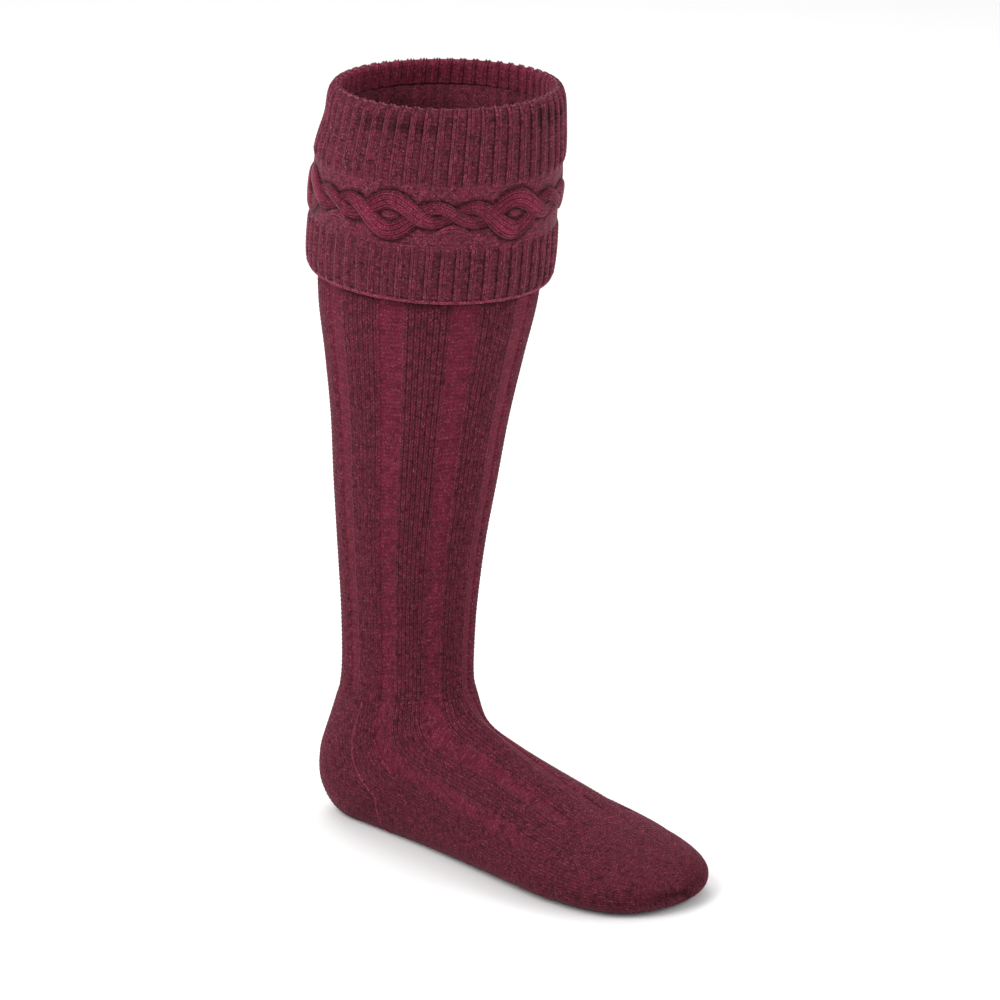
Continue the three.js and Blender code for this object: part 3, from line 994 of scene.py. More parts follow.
    def hem_shade(self, points: np.ndarray) -> np.ndarray:
        """How much painted shadow darkens the leg close under the cuff's hem.

        Args:
            points: the leg's points, rows by columns by 3.

        Returns:
            The shade, 0 away from the hem.
        """
        sizes = self.sizes
        hem = sizes.height - sizes.cuff_drop - sizes.hem_tilt / 2 * np.cos(2 * math.pi * self.turn)[None, :]
        return self.hem_shadow * (1 - smoothstep(0, self.hem_shadow_drop, hem - points[..., 2]))

    def heel_columns(self) -> np.ndarray:
        """The columns over the heel, from the wale at one side of the ankle to that at the other.

        Returns:
            Their numbers.
        """
        count = self.sizes.panels * self.wales_per_rib
        first_channel = (0.5 + self.sizes.panel_turn) / self.sizes.panels
        middle = (0.5 - first_channel) * count
        first = round(middle - count / 4) + self.channel_wales // 2
        return np.arange(first * self.gauge.across, (first + count // 2) * self.gauge.across + 1)

    def heel_end(self) -> np.ndarray:
        """The length down each column at which the heel ends: at the leg's seam where there is none.

        Returns:
            One length for each column.
        """
        end = self.surface.crossing(self.above_leg_seam)
        heel = self.heel_columns()
        aside = np.minimum(np.arange(len(heel)), np.arange(len(heel))[::-1])
        share = smoothstep(-1.0, 1.0, aside / (self.gusset_wales * self.gauge.across)) * 2 - 1
        front = self.surface.crossing(self.behind_heel_seam, last=True)[heel]
        end[heel] += (front - end[heel]) * share
        return end

    def foot(self) -> bpy.types.Object:
        """Sole and instep, in courses counted back from the toe to the leg's and the heel's seams.

        Returns:
            The finished foot.
        """
        every = np.arange(len(self.wale))
        start, end = self.heel_end(), self.surface.crossing(self.before_toe)
        rows = int(math.ceil(float((end - start).max()) / self.gauge.course)) * self.gauge.down + 1
        back = np.arange(rows)[::-1, None] * self.gauge.course / self.gauge.down
        lengths = np.maximum(end[None, :] - back, start[None, :])
        shell = FabricShell("knitted_foot")
        shell.add(self.knitted(lengths, every, Pattern.RIBBED, True))
        made = shell.add(self.lining(lengths, every, self.foot_row_step)).build()
        weld(made, self.weld_gap)
        return made

    def toe(self) -> bpy.types.Object:
        """The closed cap, whose wales run together at the tip.

        Returns:
            The finished toe.
        """
        every = np.arange(len(self.wale))
        surface = self.surface
        start = surface.crossing(self.before_toe)
        end = surface.run[-1] - self.gauge.course / 4
        lengths = self.spaced(start, end, self.row_count(start, end))
        outside = self.knitted(lengths, every, Pattern.PLAIN, True)
        shell = FabricShell("knitted_toe", looped=False)
        shell.add(self.lining(lengths, every, self.toe_row_step)).add(outside)
        tip = surface.points[-1][0]
        return shell.build([tip + np.array([0, self.sizes.wall, 0]), tip])

    def heel_path(self) -> tuple[np.ndarray, np.ndarray]:
        """The seam round the front of the heel and the direction that it faces.

        Returns:
            Points along the seam and the fabric's outward direction at each.
        """
        pick = self.heel_columns()
        points, normals, _ = self.surface_sample(self.heel_end()[None, pick], pick)
        return points[0], normals[0]

    def heel(self) -> bpy.types.Object:
        """The cup behind the ankle: courses one stitch apart that end on the seam at each side.

        Returns:
            The finished heel.
        """
        start, end = self.surface.crossing(self.above_leg_seam), self.heel_end()
        pick = self.heel_columns()
        rows = int(math.ceil(float((end - start).max()) / self.gauge.course)) * self.gauge.down + 1
        down = np.arange(rows)[:, None] * self.gauge.course / self.gauge.down
        lengths = np.minimum(start[None, pick] + down, end[None, pick])
        shell = FabricShell("knitted_heel")
        shell.add(self.knitted(lengths, pick, Pattern.PLAIN, False))
        made = shell.add(self.lining(lengths, pick, self.foot_row_step)).build()
        weld(made, self.weld_gap)
        return made


@dataclass
class TurnoverCuff:
    """The layer turned down over the top of the leg: ribs, a cable band, ribs and the hem."""

    sizes: SockSizes
    gauge: Gauge = Gauge(course=2.2 * MM, plain_rise=0.6 * MM, purl_rise=0.4 * MM)
    hidden_step: int = 6
    rib_columns: tuple[float, ...] = (0, 0.25, 0.5, 0.75, 1, 1.25, 1.5, 1.75, 2, 2.5, 3, 3.5)
    plain_wales: int = 2
    wales_per_rib: int = 4
    inner_tone: float = 0.7
    # The cast-off chain's place on the hem, and the inner side, which clears the leg.
    hem_out: float = 0.1 * MM
    hem_rise: float = 0.3 * MM
    hem_slant: float = 0.6
    leg_gap: float = 0.9 * MM
    lip_share: float = 0.8
    fold_walls: float = 1.4
    hidden_drops: tuple[float, ...] = (1.0, 0.97, 0.75, 0.5, 0.3, 0.16)
    # The form of the ribs, the band without ribs, and the painted shade in the grooves and under the fold.
    rib_base: float = 0.45
    crest_power: float = 0.6
    band_from: float = 0.2
    band_rib: float = 0.45
    still_rows: int = 4
    fold_rows: int = 3
    band_tone: float = 0.1
    groove_shade: float = 0.14
    fold_shade: float = 0.4
    fold_shade_drop: float = 0.09
    fold_shade_spread: float = 0.05
    fold_waves: int = 4
    fold_wander: float = 0.1
    wander_waves: int = 7
    path_steps: int = 360
    wale: np.ndarray = field(init=False)
    turns: np.ndarray = field(init=False)

    PROFILE_STEPS = 1500
    HEIGHT_STEPS = 160
    HEIGHTS_ABOVE = 4 * MM
    HEIGHTS_BELOW = 8 * MM
    TURN_STEP = 0.002
    GRID_TURNS = 1440
    GRID_DROPS = 60

    def __post_init__(self) -> None:
        """Lays out the columns, finer on the raised wales than in the grooves."""
        ribs = np.arange(self.sizes.cuff_ribs)[:, None] * self.wales_per_rib
        self.wale = (ribs + np.array(self.rib_columns)[None, :]).reshape(-1)
        self.turns = self.wale / (self.sizes.cuff_ribs * self.wales_per_rib)

    def profile(self) -> tuple[np.ndarray, np.ndarray, np.ndarray]:
        """The path from the lip inside, up over the fold and down to the hem.

        Returns:
            For points a half course apart: the distance out from the leg, the drop from the top, and
            the share of the rib relief.
        """
        sizes = self.sizes
        walls = np.array(FOLD_INSIDE) * sizes.wall
        inner_out = np.append(-sizes.wall, walls[:, 0])
        inner_drop = np.append(sizes.lip_drop, walls[:, 1])
        table = {name: column(CUFF_OUTSIDE, CUFF_COLUMNS, name) for name in CUFF_COLUMNS}
        out = np.append(inner_out, table["stand"] * sizes.cuff_stand)
        drop = np.append(inner_drop, table["drop"] * sizes.cuff_drop)
        rib = np.append(INSIDE_RIBS, table["rib"])
        key = np.concatenate([[0], np.cumsum(np.hypot(np.diff(out), np.diff(drop)))])
        fine = np.linspace(0, key[-1], self.PROFILE_STEPS)
        path = np.stack([smooth_between(key, values, fine) for values in (out, drop)])
        run = np.concatenate([[0], np.cumsum(np.hypot(*np.diff(path, axis=1)))])
        rows = int(round(run[-1] / self.gauge.course)) * self.gauge.down + 1
        at = np.interp(np.linspace(0, run[-1], rows), run, fine)
        return tuple(smooth_between(key, values, at) for values in (out, drop)) + (np.interp(at, key, rib),)

    def dents(self, drop: np.ndarray, turn: np.ndarray) -> np.ndarray:
        """How far the dents sink the outer layer, in metres, for shares of the drop and turns.

        Args:
            drop: shares of the cuff's drop.
            turn: places round the cuff.

        Returns:
            The depths in metres.
        """
        total = np.zeros(np.broadcast(drop, turn).shape)
        for at_drop, at_turn, depth, drop_spread, turn_spread in CUFF_DENTS:
            aside = np.abs((turn % 1.0) - at_turn)
            round_it = np.minimum(aside, 1 - aside) / turn_spread
            total += depth * np.exp(-(round_it**2) - ((drop - at_drop) / drop_spread) ** 2)
        return total * self.sizes.cuff_stand

    def face(self, drop: np.ndarray, turn: np.ndarray) -> np.ndarray:
        """How far the outer layer stands out from the leg between its ribs, with its dents.

        Args:
            drop: shares of the cuff's drop.
            turn: places round the cuff.

        Returns:
            The distances in metres.
        """
        key, stand = (column(CUFF_OUTSIDE, CUFF_COLUMNS, name) for name in ("drop", "stand"))
        return smooth_between(key, stand, drop) * self.sizes.cuff_stand - self.dents(drop, turn)

    def place(self, out: np.ndarray, drop: np.ndarray, turns: np.ndarray) -> tuple[np.ndarray, np.ndarray]:
        """Points of the cuff from their distance out from the leg and drop from the top.

        Args:
            out: distances, rows by columns.
            drop: drops, rows by columns.
            turns: the columns' turns.

        Returns:
            The points and their outward directions.
        """
        sizes = self.sizes
        top, low = sizes.height + self.HEIGHTS_ABOVE, sizes.height - sizes.cuff_drop - self.HEIGHTS_BELOW
        heights = np.linspace(top, low, self.HEIGHT_STEPS)
        rows = SockSurface.leg_rows(sizes, heights)
        rings = rows.rings(turns, -sizes.wall)
        step = rows.rings(turns + self.TURN_STEP, -sizes.wall) - rings
        level = np.stack([step[..., 1], -step[..., 0], np.zeros(step.shape[:2])], -1)
        outward = unit(level)
        z = sizes.height - drop
        at = (heights[0] - z) / (heights[0] - heights[1])
        low = np.clip(at.astype(int), 0, len(heights) - 2)
        share = (at - low)[..., None]
        j = np.broadcast_to(np.arange(len(turns))[None, :], low.shape)
        base = rings[low, j] * (1 - share) + rings[low + 1, j] * share
        normal = unit(outward[low, j] * (1 - share) + outward[low + 1, j] * share)
        points = base + normal * out[..., None]
        hanging = np.maximum(0, drop - sizes.lip_drop) / (sizes.cuff_drop - sizes.lip_drop)
        points[..., 2] -= hanging * sizes.hem_tilt / 2 * np.cos(2 * math.pi * turns)[None, :]
        return points, normal

    def scattered(self, out: np.ndarray, drop: np.ndarray, turn: np.ndarray) -> np.ndarray:
        """Points of the cuff, each with a turn of its own.

        Args:
            out: distances out from the leg.
            drop: drops from the top.
            turn: turns, all three of one shape.

        Returns:
            The points.
        """
        sizes = self.sizes
        grid = np.arange(self.GRID_TURNS + 1) / self.GRID_TURNS
        drops = np.linspace(0, sizes.cuff_drop, self.GRID_DROPS)
        flat = np.zeros((len(drops), len(grid)))
        base, normal = self.place(flat, np.broadcast_to(drops[:, None], flat.shape), grid)
        at_row = np.clip(drop / (drops[1] - drops[0]), 0, len(drops) - 1.001)
        at_column = (turn % 1.0) * self.GRID_TURNS
        i, j = at_row.astype(int), at_column.astype(int)
        share_i, share_j = (at_row - i)[..., None], (at_column - j)[..., None]
        read: Callable[[np.ndarray], np.ndarray] = lambda a: (
            (a[i, j] * (1 - share_j) + a[i, j + 1] * share_j) * (1 - share_i)
            + (a[i + 1, j] * (1 - share_j) + a[i + 1, j + 1] * share_j) * share_i
        )
        return read(base) + unit(read(normal)) * out[..., None]

    def body(self, shade: Callable[[np.ndarray, np.ndarray], np.ndarray]) -> bpy.types.Object:
        """The turned-down layer itself, with its ribs and the purl ground of the cable band.

        Args:
            shade: gives how much painted shadow darkens the fabric at drops and turns.

        Returns:
            The finished layer.
        """
        sizes, gauge = self.sizes, self.gauge
        out, drop, rib = self.profile()
        rows = len(out)
        x = self.wale % 1.0
        place = self.wale % self.wales_per_rib
        is_plain = (place < self.plain_wales).astype(float)
        crest = np.sin(math.pi * np.clip(place / self.plain_wales, 0, 1)) ** self.crest_power * is_plain
        below_ribs = drop > self.band_from * sizes.cuff_drop
        band = smoothstep(self.band_rib, 0.0, rib)[:, None] * below_ribs[:, None]
        purl = np.clip(1 - is_plain[None, :] + band, 0, 1)
        shear = gauge.shear(x[None, :], purl, True)
        ends = np.minimum(np.arange(rows), np.arange(rows)[::-1])[:, None]
        shear = shear * smoothstep(0, self.still_rows, ends)
        inside = (np.arange(rows) < np.argmin(drop))[:, None]
        moved_drop = drop[:, None] + np.where(inside, -shear, shear)
        relief = rib[:, None] * (crest[None, :] - self.rib_base) * sizes.cuff_rib_rise
        stitch = gauge.relief(x, (np.arange(rows) / gauge.down) % 1.0, purl)
        dent = self.dents(drop[:, None] / sizes.cuff_drop, self.turns[None, :]) * ~inside
        from_fold = np.abs(np.arange(rows) - np.argmin(drop))[:, None]
        facing = np.where(inside, -1.0, 1.0) * smoothstep(0, self.fold_rows, from_fold)
        lift = (relief + stitch) * facing
        shown, _ = self.place(out[:, None] - dent + lift, moved_drop, self.turns)
        wales = np.append(self.wale, self.wale[-1] + 0.5)
        tone = np.broadcast_to(band * self.band_tone + inside * self.inner_tone, purl.shape).copy()
        past_fold = (drop / sizes.cuff_drop - self.fold_shade_drop) / self.fold_shade_spread
        under_fold = np.exp(-(past_fold**2)) * ~inside[:, 0]
        wander = self.fold_wander * np.sin(2 * math.pi * self.wander_waves * self.turns)
        uneven = 0.5 + 0.5 * np.sin(2 * math.pi * (self.fold_waves * self.turns + wander))
        # Painted shade in the rib grooves, deeper along a wavering line just under the fold.
        depth = self.groove_shade + self.fold_shade * under_fold[:, None] * uneven[None, :]
        groove = (1 - crest[None, :]) * depth * rib[:, None]
        # Painted shade: between the stitches, in the rib grooves and under the fold, and painted shadow
        # beside the cable strands.
        hollow = gauge.hollow(stitch, purl) + groove + shade(drop[:, None], self.turns[None, :]) * ~inside
        shell = FabricShell("knitted_cuff")
        shell.add(Fabric(shown, tone, hollow, wales, np.arange(rows) / gauge.down))
        return shell.add(self.hidden_side()).build()

    def hem_path(self) -> tuple[np.ndarray, np.ndarray]:
        """The outer edge of the hem and the direction that it faces.

        Returns:
            Points along the edge and the outward direction at each.
        """
        sizes = self.sizes
        turns = np.arange(self.path_steps) / self.path_steps
        out = self.face(np.array([[1.0]]), turns[None, :]) + self.hem_out
        points, normal = self.place(out, np.full_like(out, sizes.cuff_drop - self.hem_rise), turns)
        return points[0], unit(normal[0] + np.array([0, 0, -self.hem_slant]))

    def hidden_side(self) -> Fabric:
        """The inner face of the turned-down layer, from the hem up to where the leg is knitted on.

        Returns:
            The fabric.
        """
        sizes = self.sizes
        turns = self.turns[:: self.hidden_step]
        drops = np.array(self.hidden_drops)
        out = self.face(drops[:, None], turns[None, :]) - sizes.wall - sizes.cuff_rib_rise / 2
        out = np.maximum(self.leg_gap, out)
        on_leg = np.zeros((1, len(turns)))
        out = np.concatenate([out, on_leg, on_leg, on_leg - sizes.wall * self.lip_share])
        ends = [self.fold_walls * sizes.wall, sizes.lip_drop, sizes.lip_drop]
        drop = np.append(drops * sizes.cuff_drop, ends)
        points, _ = self.place(out, np.broadcast_to(drop[:, None], out.shape), turns)
        shape = points.shape[:2]
        wales = np.append(self.wale[:: self.hidden_step], self.sizes.cuff_ribs * self.wales_per_rib)
        return Fabric(points, np.zeros(shape), np.full(shape, LINING_PAINTED_SHADE), wales, drop / self.gauge.course)


@dataclass
class CableBand:
    """Two strands round the cuff that swing apart round long openings and cross in a knot between."""

    cuff: TurnoverCuff
    # The band: its motifs, where the first opening lies in a motif, and its middle down the cuff.
    motifs: int = 6
    turn: float = 0.885
    middle: float = 0.555
    # The strands' course: how far they swing, how tightly the knot turns, and their half widths.
    swing: float = 8.8 * MM
    knot: float = 1.75
    knot_lift: float = 2 * MM
    wide: float = 5.6 * MM
    narrow: float = 3.4 * MM
    # The strands' form: their wales, how far they rise, less where one passes under, and how they end.
    wales: int = 4
    rise: float = 2.3 * MM
    under_share: float = 0.3
    passing: float = 0.5
    form_power: float = 0.9
    rim: float = 0.99
    back_width: float = 0.9
    sunk: float = 0.5 * MM
    # Redness of the strands, more where they spread round an opening.
    tone: float = 0.3
    lobe_tone: float = 0.5
    # Painted shade at the strands' edges, painted shadow on the band close beside them, and painted shade on
    # the strand that passes under.
    edge_shade: float = 0.6
    edge_from: float = 0.6
    contact_shade: float = 0.6
    contact_reach: float = 2.6 * MM
    under_shade: float = 0.35
    darkest: float = 1.25
    # How finely the band's paths are measured.
    path_steps: int = 4800
    girth_steps: int = 720
    girth_stand: float = 0.7
    nudge: float = 0.0005
    # The small arch under each knot.
    arch_end: float = 1.03
    arch_reach: float = 11 * MM
    arch_height: float = -9.5 * MM
    arch_bow: float = 4 * MM
    arch_half: float = 1.9 * MM
    arch_rise: float = 1.5 * MM
    arch_stitch: float = 0.6
    arch_sides: int = 16

    def path(self, turn: np.ndarray, side: int) -> tuple[np.ndarray, ...]:
        """Where a strand runs.

        Args:
            turn: places round the cuff.
            side: 1 for the strand that starts above, -1 for the one below.

        Returns:
            The strand's height above the band's middle, its half width and its share of the rise.
        """
        phase = math.pi * (self.motifs * turn - self.turn)
        swing = (np.cos(phase) + self.knot * np.cos(3 * phase)) / (1 + self.knot)
        slope = (np.sin(phase) + 3 * self.knot * np.sin(3 * phase)) / (1 + 3 * self.knot)
        height = self.knot_lift * np.sin(phase) ** 2 + side * self.swing * swing
        half = self.narrow + (self.wide - self.narrow) * np.cos(phase) ** 2
        over = smoothstep(-self.passing, self.passing, side * slope)
        return height, half, self.under_share + (1 - self.under_share) * over

    def shade(self, drop: np.ndarray, turn: np.ndarray) -> np.ndarray:
        """Painted shadow: how much the band darkens close beside the strands.

        Args:
            drop: drops from the cuff's top.
            turn: places round the cuff.

        Returns:
            The shade, 0 away from the strands.
        """
        height = self.middle * self.cuff.sizes.cuff_drop - drop
        total = np.zeros(np.broadcast(drop, turn).shape)
        for side in (1, -1):
            centre, half, _ = self.path(turn, side)
            ahead, _, _ = self.path(turn + self.nudge, side)
            steep = (ahead - centre) / (self.nudge * self.girth())
            beside = np.abs(height - centre) / np.hypot(1, steep) - half
            total = np.maximum(total, 1 - smoothstep(0, self.contact_reach, beside))
        return total * self.contact_shade

    def girth(self) -> float:
        """The length round the cuff at the band's middle.

        Returns:
            The length in metres.
        """
        sizes = self.cuff.sizes
        turns = np.arange(self.girth_steps) / self.girth_steps
        out = np.full((1, len(turns)), self.girth_stand * sizes.cuff_stand)
        points, _ = self.cuff.place(out, np.full_like(out, self.middle * sizes.cuff_drop), turns)
        return float(np.linalg.norm(np.roll(points, -1, axis=1) - points, axis=-1).sum())

    def strand(self, side: int) -> FabricShell:
        """One strand, as a closed ribbon of stitches that run along it.

        Args:
            side: 1 for the strand that starts above, -1 for the one below.

        Returns:
            The strand's shell, not yet built.
        """
        gauge, girth = self.cuff.gauge, self.girth()
        fine = np.linspace(0, 1, self.path_steps + 1)
        height, _, _ = self.path(fine, side)
        run = np.concatenate([[0], np.cumsum(np.hypot(np.diff(fine) * girth, np.diff(height)))])
        courses = int(round(run[-1] / gauge.course))
        along = np.arange(courses * gauge.down) / gauge.down
        across = np.arange(self.wales * gauge.across + 1) / gauge.across
        stitch = gauge.relief(across % 1.0, along % 1.0, np.zeros((len(along), len(across)))).T
        shear = gauge.shear(across % 1.0, np.zeros(len(across)), True)[:, None]
        length = (along[None, :] * run[-1] / courses + shear) % run[-1]
        centre = np.interp(length, run, fine)
        outer = self.ribbon(side, centre, 1 - 2 * across[:, None] / self.wales, stitch, girth)
        _, _, share = self.path(centre, side)
        back_across = np.array([-self.back_width, 0.0, self.back_width])[:, None]
        flat = np.zeros((3, len(along)))
        back_centre = np.broadcast_to(centre[:1], flat.shape)
        inner = self.ribbon(side, back_centre, back_across, flat - self.sunk, girth, 0.0)
        wales = np.append(along, courses)
        edge = smoothstep(self.edge_from, 1.0, np.abs(1 - 2 * across[:, None] / self.wales))
        # Painted shade between the stitches, on the strand that passes under, and at the strand's edges.
        hollow = 1 - stitch / gauge.plain_rise + self.under_shade * (1 - share) + self.edge_shade * edge
        lobe = np.cos(math.pi * (self.motifs * centre - self.turn)) ** 2
        shell = FabricShell("cable_strand_upper" if side > 0 else "cable_strand_lower")
        tone = self.tone + self.lobe_tone * lobe
        shell.add(Fabric(outer, tone, np.clip(hollow, 0, self.darkest), wales, across))
        # The strand's back takes full painted shade.
        return shell.add(Fabric(inner, flat + self.tone, flat + 1.0, wales, np.array([0.0, 1.0, 2.0])))

    def ribbon(
        self,
        side: int,
        centre: np.ndarray,
        across: np.ndarray,
        lift: np.ndarray,
        girth: float,
        rounded: float = 1.0,
    ) -> np.ndarray:
        """Points of a strand.

        Args:
            side: which strand.
            centre: each point's place along the strand, as a turn.
            across: each point's place across it, 1 at its upper edge and -1 at its lower.
            lift: how far each point stands above the strand's smooth form.
            girth: the length round the cuff.
            rounded: how much of the strand's rounded form there is.

        Returns:
            The points, rows by columns by 3.
        """
        cuff, sizes = self.cuff, self.cuff.sizes
        height, half, share = self.path(centre, side)
        ahead, _, _ = self.path(centre + self.nudge, side)
        angle = np.arctan2(ahead - height, self.nudge * girth)
        turn = centre - np.sin(angle) * across * half / girth
        drop = self.middle * sizes.cuff_drop - height - np.cos(angle) * across * half
        form = rounded * self.rise * share * np.sqrt(np.maximum(0, 1 - across**2)) ** self.form_power
        edge = np.where(np.abs(across) > self.rim, -self.sunk, 0.0) * rounded
        out = cuff.face(drop / sizes.cuff_drop, turn) + form + lift + edge
        return cuff.scattered(out, drop, turn)

    def arch(self, number: int) -> bpy.types.Object:
        """A short strand that bows over the foot of a knot and sinks into the band at both ends.

        Args:
            number: which knot.

        Returns:
            The strand.
        """
        gauge, cuff = self.cuff.gauge, self.cuff
        rows = int(round(2 * self.arch_reach / gauge.course)) * gauge.down + 1
        along = np.linspace(-1, 1, rows)[:, None]
        place = np.arange(self.arch_sides) / self.arch_sides
        around = -2 * math.pi * place[None, :]
        taper = np.sqrt(self.arch_end - along**2)
        wale = place * self.wales
        stitch = gauge.relief(wale % 1.0, np.arange(rows) / gauge.down % 1.0, np.zeros((rows, len(place))))
        lift = (np.sin(around) * self.arch_rise + stitch * self.arch_stitch) * taper
        height = self.arch_height + self.arch_bow * np.cos(math.pi / 2 * along)
        height = height + np.cos(around) * self.arch_half * taper
        turn = (number + 0.5 + self.turn + along * self.arch_reach * self.motifs / self.girth()) / self.motifs
        turn = np.broadcast_to(turn, height.shape)
        drop = self.middle * cuff.sizes.cuff_drop - height
        points = cuff.scattered(cuff.face(drop / cuff.sizes.cuff_drop, turn) + lift, drop, turn)
        # Painted shade between the arch's stitches.
        hollow = np.clip(1 - stitch / gauge.plain_rise, 0, 1)
        shell = FabricShell(f"cable_arch_{number + 1}", looped=False)
        wales = np.append(wale, self.wales)
        tone = np.full(height.shape, self.tone)
        shell.add(Fabric(points, tone, hollow, wales, np.arange(rows) / gauge.down))
        return shell.build([points[0].mean(axis=0), points[-1].mean(axis=0)])

    def build(self) -> list[bpy.types.Object]:
        """Both strands and the arch under each knot."""
        strands = [self.strand(side).build() for side in (1, -1)]
        return strands + [self.arch(number) for number in range(self.motifs)]


class Value:
    """A number that a node gives, on which the usual operators add Math nodes."""

    def __init__(self, tree: "NodeMaker", socket: bpy.types.NodeSocket) -> None:
        """Wraps a node's output."""
        self.tree = tree
        self.socket = socket

    def calc(self, operation: str, *others: Any) -> "Value":
        """The result of a Math node on this value and others."""
        values = dict(enumerate((self, *others)))
        return self.tree.value("ShaderNodeMath", {"operation": operation}, values)

    def __add__(self, other: Any) -> "Value":
        """Adds."""
        return self.calc("ADD", other)

    def __sub__(self, other: Any) -> "Value":
        """Subtracts."""
        return self.calc("SUBTRACT", other)

    def __mul__(self, other: Any) -> "Value":
        """Multiplies."""
        return self.calc("MULTIPLY", other)

    def __truediv__(self, other: Any) -> "Value":
        """Divides."""
        return self.calc("DIVIDE", other)

    def __rsub__(self, other: float) -> "Value":
        """Subtracts from a number."""
        return self.tree.value("ShaderNodeMath", {"operation": "SUBTRACT"}, {0: other, 1: self})

    __radd__ = __add__
    __rmul__ = __mul__

    def clamped(self) -> "Value":
        """Kept between 0 and 1."""
        return self.tree.value("ShaderNodeClamp", {}, {"Value": self})

    def ramp(self, low: float, high: float, to_low: float = 0.0, to_high: float = 1.0) -> "Value":
        """A soft ramp from to_low at low to to_high at high."""
        values = {"Value": self, "From Min": low, "From Max": high, "To Min": to_low, "To Max": to_high}
        return self.tree.value("ShaderNodeMapRange", {"interpolation_type": "SMOOTHSTEP"}, values)


class NodeMaker:
    """Adds nodes to one tree and links them."""

    def __init__(self, tree: bpy.types.NodeTree) -> None:
        """Wraps an empty tree."""
        self.tree = tree

    def add(self, kind: str, settings: dict[str, Any], values: dict[Any, Any]) -> bpy.types.Node:
        """Adds one node.

        Args:
            kind: the node's type.
            settings: its own settings, set first.
            values: the values or links of its inputs, by name or number.

        Returns:
            The node.
        """
        node = self.tree.nodes.new(kind)
        for name, setting in settings.items():
            setattr(node, name, setting)
        for name, value in values.items():
            self.feed(node.inputs[name], value)
        return node

    def feed(self, socket: bpy.types.NodeSocket, value: Any) -> None:
        """Gives an input what it takes.

        Args:
            socket: the input.
            value: a wrapped value or a socket, which is linked, or else a plain value, which is set.
        """
        if isinstance(value, Value):
            self.tree.links.new(value.socket, socket)
        elif isinstance(value, bpy.types.NodeSocket):
            self.tree.links.new(value, socket)
        else:
            socket.default_value = value

    def value(self, kind: str, settings: dict[str, Any], values: dict[Any, Any], output: Any = 0) -> Value:
        """Adds a node and wraps one of its outputs."""
        return Value(self, self.add(kind, settings, values).outputs[output])

    def mix(self, factor: Any, a: Any, b: Any, blend: str = "MIX") -> bpy.types.NodeSocket:
        """Mixes two colours.

        Args:
            factor: how much of the second.
            a: a colour or its socket.
            b: another.
            blend: the blend type.

        Returns:
            The mixed colour's socket.
        """
        settings = {"data_type": "RGBA", "blend_type": blend}
        node = self.add("ShaderNodeMix", settings, {})
        for place, value in ((0, factor), (6, a), (7, b)):
            self.feed(node.inputs[place], value)
        return node.outputs[2]


